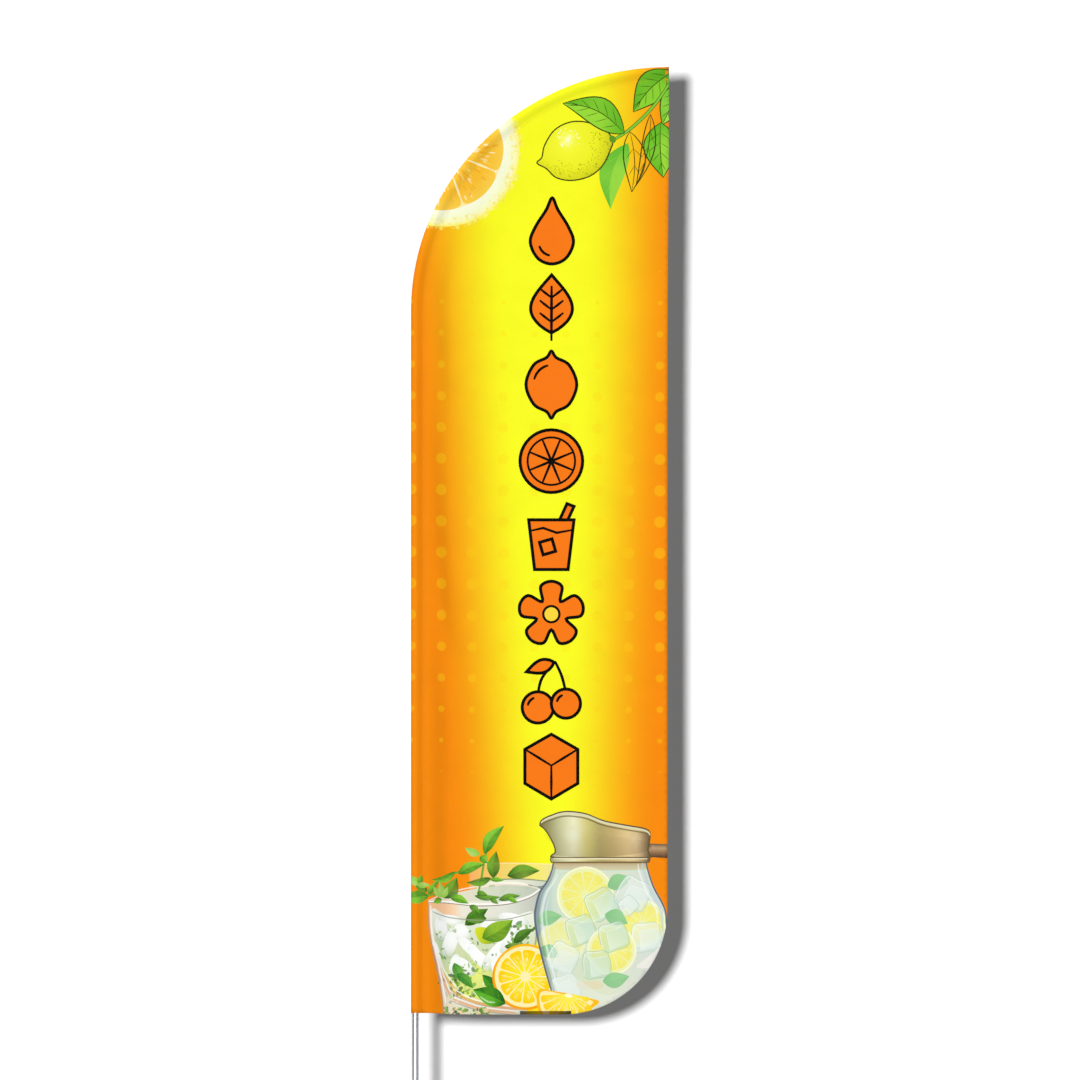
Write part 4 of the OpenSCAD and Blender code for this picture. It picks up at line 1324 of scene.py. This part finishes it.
def make_tip_patch(material):
    """Webbing patch laid over the sleeve's back where the tip ends"""
    grid = patch_grid()
    piece = mesh_object("tip_webbing", grid.reshape(-1, 3), grid_faces(PATCH_COLUMNS, PATCH_ROWS), material)
    if piece.data.polygons[30].normal.y < 0:
        piece.data.flip_normals()
    solid = piece.modifiers.new("thickness", "SOLIDIFY")
    solid.thickness, solid.offset = WEBBING_T, -1
    soft = piece.modifiers.new("edges", "BEVEL")
    soft.width, soft.segments, soft.limit_method = 0.0004, 2, "ANGLE"
    finish_modifiers(piece)
    return piece, patch_stitches(grid + (0, 0.0003, 0))


def bungee_path():
    """Middle line of the closed loop, and the cord's radius"""
    low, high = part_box("bungee_loop")
    r = (high.x - low.x) / 2
    mid_y, half = (low.y + high.y) / 2, (high.y - low.y) / 2 - r
    z0, z1 = low.z + r + half, high.z - r - half
    bends = np.linspace(0, math.pi, 14)[:-1]
    up = [(mid_y + half, z) for z in np.linspace(z0, z1, 24)[:-1]]
    over = [(mid_y + half * math.cos(a), z1 + half * math.sin(a)) for a in bends]
    down = [(mid_y - half, z) for z in np.linspace(z1, z0, 24)[:-1]]
    under = [(mid_y - half * math.cos(a), z0 - half * math.sin(a)) for a in bends]
    return np.array([(0, y, z) for y, z in up + over + down + under]), r


def make_bungee(material):
    """Braided elastic loop between the ring and the hook's eye"""
    path, r = bungee_path()
    n, sides = len(path), 16
    across = np.array([1.0, 0, 0])
    verts, run = [], [0.0]
    for k in range(n):
        way = path[(k + 1) % n] - path[k - 1]
        way /= np.linalg.norm(way)
        out = np.cross(way, across)
        verts += [path[k] + r * (across * math.cos(a) + out * math.sin(a))
                  for a in np.linspace(0, 2 * math.pi, sides + 1)[:-1]]
        run.append(run[-1] + float(np.linalg.norm(path[(k + 1) % n] - path[k])))
    faces, uvs = [], []
    for k in range(n):
        for i in range(sides):
            a, b = k * sides, ((k + 1) % n) * sides
            faces.append((a + i, a + (i + 1) % sides, b + (i + 1) % sides, b + i))
            u0, u1 = i / sides, (i + 1) / sides
            uvs += [(u0, run[k]), (u1, run[k]), (u1, run[k + 1]), (u0, run[k + 1])]
    piece = mesh_object("bungee_cord", verts, faces, material)
    uv = piece.data.uv_layers.new(name="flat")
    uv.data.foreach_set("uv", np.array(uvs).ravel())
    if piece.data.polygons[0].normal.dot(piece.data.polygons[0].center - Vector(path[0])) < 0:
        piece.data.flip_normals()
    return piece


# ---- Materials ----

class Tree:
    """Short way to place and link shader nodes"""

    def __init__(self, tree):
        self.tree = tree

    def node(self, kind, **settings):
        made = self.tree.nodes.new(kind)
        for name, value in settings.items():
            setattr(made, name, value)
        return made

    def put(self, socket, value):
        if isinstance(value, bpy.types.NodeSocket):
            self.tree.links.new(value, socket)
        elif value is not None:
            socket.default_value = value

    def math(self, operation, a, b=None, c=None, clamp=False):
        made = self.node("ShaderNodeMath", operation=operation, use_clamp=clamp)
        for socket, value in zip(made.inputs, (a, b, c)):
            self.put(socket, value)
        return made.outputs[0]

    def ramp(self, value, lo, hi, out_lo=0.0, out_hi=1.0, kind="SMOOTHSTEP"):
        made = self.node("ShaderNodeMapRange", interpolation_type=kind)
        for socket, x in zip(made.inputs, (value, lo, hi, out_lo, out_hi)):
            self.put(socket, x)
        return made.outputs[0]

    def mix(self, factor, a, b, blend="MIX"):
        made = self.node("ShaderNodeMix", data_type="RGBA", blend_type=blend)
        for socket, value in zip((made.inputs[0], made.inputs[6], made.inputs[7]), (factor, a, b)):
            self.put(socket, value)
        return made.outputs[2]

    def noise(self, vector, scale, detail=3.0, rough=0.5):
        made = self.node("ShaderNodeTexNoise")
        self.put(made.inputs["Vector"], vector)
        self.put(made.inputs["Scale"], scale)
        self.put(made.inputs["Detail"], detail)
        self.put(made.inputs["Roughness"], rough)
        return made.outputs["Fac"]

    def scaled(self, vector, scale):
        made = self.node("ShaderNodeMapping")
        self.put(made.inputs["Vector"], vector)
        made.inputs["Scale"].default_value = scale
        return made.outputs[0]

    def bump(self, height, strength, distance, normal=None):
        made = self.node("ShaderNodeBump")
        made.inputs["Strength"].default_value = strength
        made.inputs["Distance"].default_value = distance
        self.put(made.inputs["Height"], height)
        self.put(made.inputs["Normal"], normal)
        return made.outputs[0]

    def parts(self, vector):
        """Its x, y and z"""
        made = self.node("ShaderNodeSeparateXYZ")
        self.put(made.inputs[0], vector)
        return made.outputs

    def grey(self, value):
        """A grey colour of a value that changes over the surface"""
        made = self.node("ShaderNodeCombineColor")
        for socket in made.inputs:
            self.put(socket, value)
        return made.outputs[0]

    def group(self, group, **values):
        made = self.node("ShaderNodeGroup", node_tree=group)
        for name, value in values.items():
            self.put(made.inputs[name.replace("_", " ")], value)
        return made.outputs


def colour4(colour):
    """A linear colour as a socket takes it, solid"""
    return tuple(float(c) for c in colour[:3]) + (1.0,)


VECTOR, FLOAT = "NodeSocketVector", "NodeSocketFloat"


def new_group(name, inputs, outputs):
    """Shader group; inputs and outputs are (name, kind, default)"""
    group = bpy.data.node_groups.new(name, "ShaderNodeTree")
    for direction, rows in (("INPUT", inputs), ("OUTPUT", outputs)):
        for label, kind, default in rows:
            socket = group.interface.new_socket(label, in_out=direction, socket_type=kind)
            if default is not None:
                socket.default_value = default
    tree = Tree(group)
    return group, tree, tree.node("NodeGroupInput").outputs, tree.node("NodeGroupOutput").inputs


FULL_TURN = 6.2832


def knit_group():
    """Warp-knit cloth: rows of small loops, and the painted shade that darkens the colour in their hollows"""
    group, t, given, out = new_group(
        "knit", [("Vector", VECTOR, None), ("Gauge", FLOAT, 900.0)],
        [("Height", FLOAT, None), ("Shade", FLOAT, None)])
    along_rows, across_rows, _ = t.parts(given["Vector"])
    u = t.math("MULTIPLY", along_rows, given["Gauge"])
    v = t.math("MULTIPLY", across_rows, given["Gauge"])
    zigzag = t.math("PINGPONG", v, 1.0)
    wale = t.math("SINE", t.math("MULTIPLY", t.math("ADD", u, t.math("MULTIPLY", zigzag, 0.5)), FULL_TURN))
    course = t.math("SINE", t.math("MULTIPLY", v, FULL_TURN))
    height = t.math("ADD", t.math("MULTIPLY", wale, 0.6), t.math("MULTIPLY", course, 0.4))
    t.put(out["Height"], height)
    # Shade: painted shade, darker where the loops sink
    t.put(out["Shade"], t.ramp(height, -1.0, 1.0, 0.955, 1.0, "LINEAR"))
    return group


def weave_group():
    """Woven webbing or braid: threads over and under, with painted shade where they dip under and a painted
    highlight where they cross over
    """
    group, t, given, out = new_group(
        "weave", [("Vector", VECTOR, None), ("Threads", FLOAT, 500.0)],
        [("Height", FLOAT, None), ("Shade", FLOAT, None)])
    x, _, z = t.parts(given["Vector"])
    u = t.math("MULTIPLY", t.math("ADD", x, z), given["Threads"])
    v = t.math("MULTIPLY", t.math("SUBTRACT", z, x), given["Threads"])
    over = t.math("MULTIPLY", t.math("SINE", u), t.math("SINE", v))
    t.put(out["Height"], over)
    # Shade: painted shade on the threads below, painted highlight on the threads on top
    t.put(out["Shade"], t.ramp(over, -1.0, 1.0, 0.55, 1.15, "LINEAR"))
    return group


def wear_group():
    """Handling marks: blotches that vary the colour and the gloss, and fine scratches"""
    group, t, given, out = new_group(
        "wear", [("Vector", VECTOR, None), ("Patch size", FLOAT, 18.0), ("Amount", FLOAT, 0.5)],
        [("Blotch", FLOAT, None), ("Scratch", FLOAT, None)])
    blotch = t.ramp(t.noise(given["Vector"], given["Patch size"], 5.0, 0.6), 0.35, 0.75)
    t.put(out["Blotch"], t.math("MULTIPLY", blotch, given["Amount"]))
    fine = t.noise(t.scaled(given["Vector"], (900.0, 900.0, 60.0)), 1.0, 2.0, 0.5)
    t.put(out["Scratch"], t.math("MULTIPLY", t.ramp(fine, 0.66, 0.74), given["Amount"]))
    return group


def edge_wear_group():
    """Mask of rubbed edges: where the softened normal leaves the face's own, broken up by noise"""
    group, t, given, out = new_group(
        "edge_wear", [("Vector", VECTOR, None), ("Softened", VECTOR, None), ("Amount", FLOAT, 0.6)],
        [("Mask", FLOAT, None)])
    dot = t.node("ShaderNodeVectorMath", operation="DOT_PRODUCT")
    t.put(dot.inputs[0], given["Softened"])
    t.put(dot.inputs[1], t.node("ShaderNodeNewGeometry").outputs["True Normal"])
    edge = t.ramp(dot.outputs["Value"], 0.86, 0.985, 1.0, 0.0)
    patchy = t.ramp(t.noise(given["Vector"], 160.0, 4.0, 0.65), 0.42, 0.62)
    t.put(out["Mask"], t.math("MULTIPLY", t.math("MULTIPLY", edge, patchy), given["Amount"]))
    return group


KNIT, WEAVE, WEAR, EDGE_WEAR = knit_group(), weave_group(), wear_group(), edge_wear_group()


def new_material(name, **fixed):
    """Principled material; fixed values go on the shader's own sockets"""
    material = bpy.data.materials.new(name)
    material.use_nodes = True
    tree = Tree(material.node_tree)
    shader = material.node_tree.nodes["Principled BSDF"]
    for label, value in fixed.items():
        shader.inputs[label.replace("_", " ")].default_value = value
    return material, tree, shader


# Rows of dots on the ground, largest half way up
DOT_PITCH, DOT_ROW_AT = 0.116, 0.085
DOT_MIDDLE, DOT_REACH = 1.82, 0.98       # height where they are largest, and how far from it they fade out
DOT_SIZE = 0.0215
DOT_COLOUR = ink(250, 200, 22)


def display4(colour):
    """A linear colour as it looks, for blending in even steps"""
    return tuple(float(c) ** (1 / DISPLAY_GAMMA) for c in colour[:3]) + (1.0,)


def yellow_share(t, s, h):
    """How yellow the ground is at a flat place: 0 at the sides, 1 between the two lines"""
    drop = t.math("SUBTRACT", LEFT_EDGE[1], h)
    left = t.math("MULTIPLY_ADD", drop, LEFT_EDGE[2], LEFT_EDGE[0])
    fall = t.math("MAXIMUM", t.math("SUBTRACT", RIGHT_EDGE[1], h), 0.0)
    right = t.math("MULTIPLY_ADD", fall, -RIGHT_EDGE[2], RIGHT_EDGE[0])
    rise = t.ramp(t.math("SUBTRACT", s, left), -GROUND_FADE, GROUND_FADE)
    sink = t.ramp(t.math("SUBTRACT", s, right), -GROUND_FADE, GROUND_FADE, 1.0, 0.0)
    return t.math("MULTIPLY", rise, sink)


def dot_mask(t, s, h):
    """1 on a dot and 0 between the dots"""
    across = t.math("PINGPONG", s, DOT_PITCH / 2)
    up = t.math("PINGPONG", t.math("SUBTRACT", h, DOT_ROW_AT), DOT_PITCH / 2)
    reach = t.math("SQRT", t.math("ADD", t.math("POWER", across, 2.0), t.math("POWER", up, 2.0)))
    lean = t.math("DIVIDE", t.math("SUBTRACT", h, DOT_MIDDLE), DOT_REACH)
    swell = t.math("MAXIMUM", t.math("SUBTRACT", 1.0, t.math("MULTIPLY", lean, lean)), 0.0)
    size = t.math("MULTIPLY", t.math("POWER", swell, 0.75), DOT_SIZE)
    return t.ramp(t.math("SUBTRACT", reach, size), -0.002, 0.001, 1.0, 0.0)


def dotted_ground(t, s, h):
    """The print's ground with its dots, in linear colour"""
    yellow = yellow_share(t, s, h)
    ground = t.mix(yellow, display4(GROUND_ORANGE), display4(GROUND_YELLOW))
    strength = t.ramp(yellow, 0.1, 1.0, 0.46, 0.16, "LINEAR")
    ground = t.mix(t.math("MULTIPLY", dot_mask(t, s, h), strength), ground, display4(DOT_COLOUR))
    to_linear = t.node("ShaderNodeGamma")
    t.put(to_linear.inputs["Color"], ground)
    to_linear.inputs["Gamma"].default_value = DISPLAY_GAMMA
    return to_linear.outputs[0]


def printed_cloth(name, wash):
    """The printed knit. wash is how far the colour is let down with white, as on the unprinted side"""
    material, t, shader = new_material(name, Sheen_Weight=0.02, Sheen_Roughness=0.4, Specular_IOR_Level=0.06)
    uv = t.node("ShaderNodeUVMap", uv_map="flat").outputs[0]
    s, h, _ = t.parts(uv)
    printed = t.node("ShaderNodeVertexColor", layer_name="print")
    colour = t.mix(printed.outputs["Alpha"], dotted_ground(t, s, h), printed.outputs["Color"])
    if wash:
        colour = t.mix(wash, colour, colour4(ink(236, 232, 222)))
    knit = t.group(KNIT, Vector=uv, Gauge=620.0)
    uneven = t.ramp(t.noise(uv, 7.0, 4.0, 0.55), 0.3, 0.7, 0.965, 1.0)
    # painted shade in the knit's hollows, times a random unevenness of tone
    shade = t.grey(t.math("MULTIPLY", knit["Shade"], uneven))
    t.put(shader.inputs["Base Color"], t.mix(1.0, colour, shade, "MULTIPLY"))
    t.put(shader.inputs["Roughness"], t.ramp(t.noise(uv, 40.0), 0.2, 0.8, 0.66, 0.82))
    creases = t.noise(t.scaled(uv, (9.0, 2.2, 1.0)), 1.0, 6.0, 0.55)
    relief = t.bump(creases, 0.35, 0.006)
    t.put(shader.inputs["Normal"], t.bump(knit["Height"], 0.35, 0.0003, relief))
    return material


def object_place(t):
    return t.node("ShaderNodeTexCoord").outputs["Object"]


def plain_finish(name, colour, dark, rough, metallic=0.0, grain=0.0, grain_size=700.0, edge=0.0, worn=None,
                 wear=0.5, brushed=None, **fixed):
    """A solid finish: two tones in blotches, uneven gloss, fine grain, softened edges and wear along them"""
    material, t, shader = new_material(name, Metallic=metallic, **fixed)
    place = object_place(t)
    marks = t.group(WEAR, Vector=place, Patch_size=14.0, Amount=wear)
    tone = t.mix(marks["Blotch"], colour4(colour), colour4(dark))
    gloss = t.math("ADD", t.ramp(marks["Blotch"], 0.0, 1.0, rough, rough * 1.5, "LINEAR"),
                   t.math("MULTIPLY", marks["Scratch"], 0.2))
    normal = None
    if edge:
        bevel = t.node("ShaderNodeBevel", samples=4)
        bevel.inputs["Radius"].default_value = edge
        normal = bevel.outputs[0]
    if worn is not None:
        rub = t.group(EDGE_WEAR, Vector=place, Softened=normal, Amount=0.8)
        tone = t.mix(rub["Mask"], tone, colour4(worn))
    if brushed:
        lines = t.noise(t.scaled(place, brushed), 1.0, 3.0, 0.6)
        gloss = t.math("ADD", gloss, t.ramp(lines, 0.3, 0.7, -0.06, 0.06, "LINEAR"))
        normal = t.bump(lines, 0.25, 0.0002, normal)
    if grain:
        normal = t.bump(t.noise(place, grain_size, 3.0, 0.6), grain, 0.0003, normal)
    t.put(shader.inputs["Base Color"], tone)
    t.put(shader.inputs["Roughness"], gloss)
    t.put(shader.inputs["Normal"], normal)
    return material


def thread_finish(name, colour):
    """Twisted sewing thread"""
    material, t, shader = new_material(name, Sheen_Weight=0.2, Sheen_Roughness=0.5, Specular_IOR_Level=0.3)
    place = object_place(t)
    strands = t.noise(t.scaled(place, (2500.0, 2500.0, 2500.0)), 1.0, 1.0)
    t.put(shader.inputs["Base Color"], t.mix(strands, colour4(colour), colour4(colour * 0.8)))
    t.put(shader.inputs["Roughness"], t.ramp(strands, 0.3, 0.7, 0.5, 0.7))
    t.put(shader.inputs["Normal"], t.bump(strands, 0.3, 0.0002))
    return material


def braid_finish(name, colour, fleck):
    """Braided cover of an elastic cord, from its own lengthways and round-the-cord map, with painted shade in
    the grooves between the strands
    """
    material, t, shader = new_material(name, Sheen_Weight=0.3, Sheen_Roughness=0.5, Specular_IOR_Level=0.3)
    strands, strand_length = 4, 0.0042
    round_share, length, _ = t.parts(t.node("ShaderNodeUVMap", uv_map="flat").outputs[0])
    around_it = t.math("MULTIPLY", round_share, 2 * math.pi * strands)
    run = t.math("MULTIPLY", length, 2 * math.pi / strand_length)
    right_hand = t.math("SINE", t.math("ADD", around_it, run))
    left_hand = t.math("SINE", t.math("SUBTRACT", around_it, run))
    strand = t.ramp(t.math("MULTIPLY", right_hand, left_hand), -1.0, 1.0, 0.0, 1.0)
    slow = t.math("ADD", t.math("MULTIPLY", around_it, 0.25), t.math("MULTIPLY", run, 0.25))
    tracer = t.ramp(t.math("SINE", slow), 0.86, 0.95)
    base = t.mix(tracer, colour4(colour), colour4(fleck))
    # painted shade: darker in the grooves between the strands
    t.put(shader.inputs["Base Color"], t.mix(strand, t.mix(0.6, base, (0, 0, 0, 1)), base))
    t.put(shader.inputs["Roughness"], t.ramp(strand, 0.0, 1.0, 0.9, 0.6))
    t.put(shader.inputs["Normal"], t.bump(strand, 0.8, 0.0004))
    return material


def woven_finish(name, colour, threads):
    """Webbing, woven over and under"""
    material, t, shader = new_material(name, Sheen_Weight=0.3, Sheen_Roughness=0.5, Specular_IOR_Level=0.3)
    place = object_place(t)
    weave = t.group(WEAVE, Vector=place, Threads=threads)
    # the colour takes the weave's painted shade and painted highlight
    t.put(shader.inputs["Base Color"], t.mix(1.0, colour4(colour), t.grey(weave["Shade"]), "MULTIPLY"))
    t.put(shader.inputs["Roughness"], t.ramp(t.noise(place, 90.0), 0.2, 0.8, 0.7, 0.9))
    t.put(shader.inputs["Normal"], t.bump(weave["Height"], 0.6, 0.0004))
    return material


CLOTH_FRONT = printed_cloth("printed_knit_front", 0.0)
CLOTH_BACK = printed_cloth("printed_knit_back", 0.14)
FINISH = {
    "webbing": woven_finish("black_webbing", ink(40, 40, 43), 2600.0),
    "elastic_cord": braid_finish("braided_elastic", ink(44, 44, 48), ink(200, 200, 196)),
    "tube_alloy": plain_finish("anodised_tube", ink(206, 208, 212), ink(176, 178, 184), 0.3, 1.0,
                               wear=0.6, brushed=(1400.0, 1400.0, 4.0)),
    "glass_fibre": plain_finish("glass_fibre_rod", ink(236, 236, 228), ink(214, 212, 200), 0.38,
                                brushed=(1200.0, 1200.0, 30.0)),
    "black_nylon": plain_finish("black_nylon", ink(34, 34, 35), ink(52, 51, 50), 0.45,
                                grain=0.3, edge=0.0006, worn=ink(96, 94, 90)),
    "white_nylon": plain_finish("natural_nylon", ink(232, 230, 218), ink(210, 206, 190), 0.42,
                                grain=0.15, edge=0.0004),
    "black_rubber": plain_finish("moulded_rubber", ink(30, 30, 30), ink(48, 46, 44), 0.7,
                                 grain=0.5, grain_size=1100.0, edge=0.0012, worn=ink(78, 76, 72)),
    "plated_wire": plain_finish("nickel_plate", ink(214, 212, 206), ink(180, 176, 168), 0.16, 1.0, wear=0.4),
    "zinc_steel": plain_finish("zinc_plate", ink(186, 188, 190), ink(150, 152, 156), 0.34, 1.0, wear=0.8,
                               grain=0.12, grain_size=500.0, edge=0.0005, worn=ink(220, 220, 220)),
    "coated_steel": plain_finish("black_powder_coat", ink(36, 37, 40), ink(56, 56, 58), 0.42,
                                 grain=0.55, grain_size=1600.0, edge=0.0012, worn=ink(132, 130, 126),
                                 Coat_Weight=0.1, Coat_Roughness=0.3),
}
FLAG_THREAD = thread_finish("orange_thread", ink(250, 176, 36))
STRAP_THREAD = thread_finish("grey_thread", ink(150, 150, 152))

for part in frame["record"]["subparts"]:
    if part["material_slot"] in FINISH:
        mesh = NODES[part["node"]].data
        mesh.materials.clear()
        mesh.materials.append(FINISH[part["material_slot"]])
        for polygon in mesh.polygons:
            polygon.material_index = 0


# ---- Flag ----

flag_cloth, cut_area = make_flag_cloth(CLOTH_FRONT, CLOTH_BACK)
flag_cloth.visible_diffuse = False
flag_hem = make_hem(CLOTH_FRONT)
flag_stitches = make_stitches("flag_stitches", seam_rows(), FLAG_THREAD, FLAG_STITCH)
tether_webbing, tab_rows = make_tab(FINISH["webbing"])
tip_webbing, patch_rows = make_tip_patch(FINISH["webbing"])
strap_stitches = make_stitches("strap_stitches", tab_rows + patch_rows, STRAP_THREAD, STRAP_STITCH)
bungee_cord = make_bungee(FINISH["elastic_cord"])
for slot, pieces in (("printed_cloth", (flag_cloth, flag_hem, flag_stitches)),
                     ("webbing", (tether_webbing, tip_webbing, strap_stitches)),
                     ("elastic_cord", (bungee_cord,))):
    for piece in pieces:
        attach(piece, "pole")
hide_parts("flag_panel", "pole_sleeve")
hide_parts("tether_tab")
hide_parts("tip_patch")
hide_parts("bungee_loop")


# ---- Stage, light and camera ----

def stage_plane(name, corners, material):
    """A flat piece of the stage, which isn't part of the flag"""
    piece = mesh_object(name, corners, [(0, 1, 2, 3)], material, smooth=False)
    return piece


FLAG_MIDDLE = Vector((FLAG_X + FLAG_W / 2, 0, FLAG_Z + FLAG_H / 2))
PICTURE_SHARE = 0.876       # how much of the picture's height the flag takes
CAMERA_AWAY = 120.0
WALL_AWAY = 1.05


def pale_floor():
    """Light grey floor that fades out towards its edges"""
    material, t, shader = new_material("pale_floor", Roughness=0.7)
    place = object_place(t)
    tone = t.mix(t.noise(place, 3.0), (0.74, 0.74, 0.73, 1), (0.78, 0.78, 0.77, 1))
    t.put(shader.inputs["Base Color"], tone)
    length = t.node("ShaderNodeVectorMath", operation="LENGTH")
    t.put(length.inputs[0], place)
    t.put(shader.inputs["Alpha"], t.ramp(length.outputs["Value"], 2.2, 5.5, 1.0, 0.0))
    return material


def white_wall():
    """White from the front, clear from behind"""
    material, t, shader = new_material("white_wall", Roughness=1.0, Specular_IOR_Level=0.0)
    shader.inputs["Base Color"].default_value = (0.6, 0.6, 0.6, 1)
    side = t.node("ShaderNodeNewGeometry").outputs["Backfacing"]
    t.put(shader.inputs["Alpha"], t.math("SUBTRACT", 1.0, side))
    return material


FLOOR_HALF, FLOOR_Z = 6, -0.0005
WALL_LEFT, WALL_RIGHT, WALL_TOP = -9, 10, 8
floor = stage_plane("floor", [(a * FLOOR_HALF, b * FLOOR_HALF, FLOOR_Z)
                              for a, b in ((-1, -1), (1, -1), (1, 1), (-1, 1))], pale_floor())
wall = stage_plane("wall", [(WALL_LEFT, WALL_AWAY, 0), (WALL_RIGHT, WALL_AWAY, 0),
                            (WALL_RIGHT, WALL_AWAY, WALL_TOP), (WALL_LEFT, WALL_AWAY, WALL_TOP)],
                   white_wall())
wall.visible_shadow = False
wall.visible_diffuse = False
floor.visible_diffuse = False

world = bpy.data.worlds.new("studio")
bpy.context.scene.world = world
world.use_nodes = True
sky = Tree(world.node_tree)
backdrop = world.node_tree.nodes["Background"]
SKY_STRENGTH, BACKDROP_STRENGTH = 0.26, 1.0
seen = sky.node("ShaderNodeLightPath").outputs["Is Camera Ray"]
sky.put(backdrop.inputs["Strength"], sky.ramp(seen, 0.0, 1.0, SKY_STRENGTH, BACKDROP_STRENGTH, "LINEAR"))
backdrop.inputs["Color"].default_value = (1, 1, 1, 1)


def sun(name, way, strength, softness):
    lamp = bpy.data.lights.new(name, "SUN")
    lamp.energy, lamp.angle = strength, math.radians(softness)
    made = bpy.data.objects.new(name, lamp)
    made.rotation_euler = Vector(way).to_track_quat("-Z", "Y").to_euler()
    bpy.context.scene.collection.objects.link(made)
    return made


# The key stands as far off as the camera, so the shadow on the wall is the flag's size in the picture
SHADOW_RIGHT, SHADOW_DOWN, SHADOW_BLUR = 0.079, 0.033, 0.050
KEY_STRENGTH, WALL_KEY_STRENGTH = 0.82, 1.6
KEY_REACH = CAMERA_AWAY / WALL_AWAY


def far_lamp(name, strength):
    """A point lamp at the camera's distance, up and to the left"""
    lamp = bpy.data.lights.new(name, "POINT")
    lamp.energy = strength * 4 * math.pi ** 2 * CAMERA_AWAY ** 2
    lamp.shadow_soft_size = SHADOW_BLUR * KEY_REACH / 2
    made = bpy.data.objects.new(name, lamp)
    made.location = FLAG_MIDDLE + Vector((-SHADOW_RIGHT * KEY_REACH, -CAMERA_AWAY, SHADOW_DOWN * KEY_REACH))
    bpy.context.scene.collection.objects.link(made)
    return made


def receivers(name, state):
    """Collection that says whether lamps linked to it light the wall"""
    made = bpy.data.collections.new(name)
    made.objects.link(wall)
    made.collection_objects[0].light_linking.link_state = state
    return made


others = [far_lamp("key", KEY_STRENGTH), sun("top", (0.3, -0.1, -1.0), 1.8, 40),
          sun("rear_left", (0.6, -1.0, -0.35), 2.0, 30), sun("rear_right", (-1.0, -0.6, -0.5), 1.0, 30)]
wall_key = far_lamp("wall_key", WALL_KEY_STRENGTH)
wall_key.light_linking.receiver_collection = receivers("wall_only", "INCLUDE")
not_wall = receivers("all_but_wall", "EXCLUDE")
for lamp in others:
    lamp.light_linking.receiver_collection = not_wall

camera = bpy.data.cameras.new("camera")
camera.sensor_width = 36.0
camera.lens = camera.sensor_width * CAMERA_AWAY / (FLAG_H / PICTURE_SHARE)
camera.clip_start, camera.clip_end = 1.0, 400.0
camera_object = bpy.data.objects.new("camera", camera)
camera_object.location = FLAG_MIDDLE - Vector((0, CAMERA_AWAY, 0))
camera_object.rotation_euler = (math.radians(90), 0, 0)
bpy.context.scene.collection.objects.link(camera_object)
bpy.context.scene.camera = camera_object
bpy.context.scene.view_settings.view_transform = "Standard"
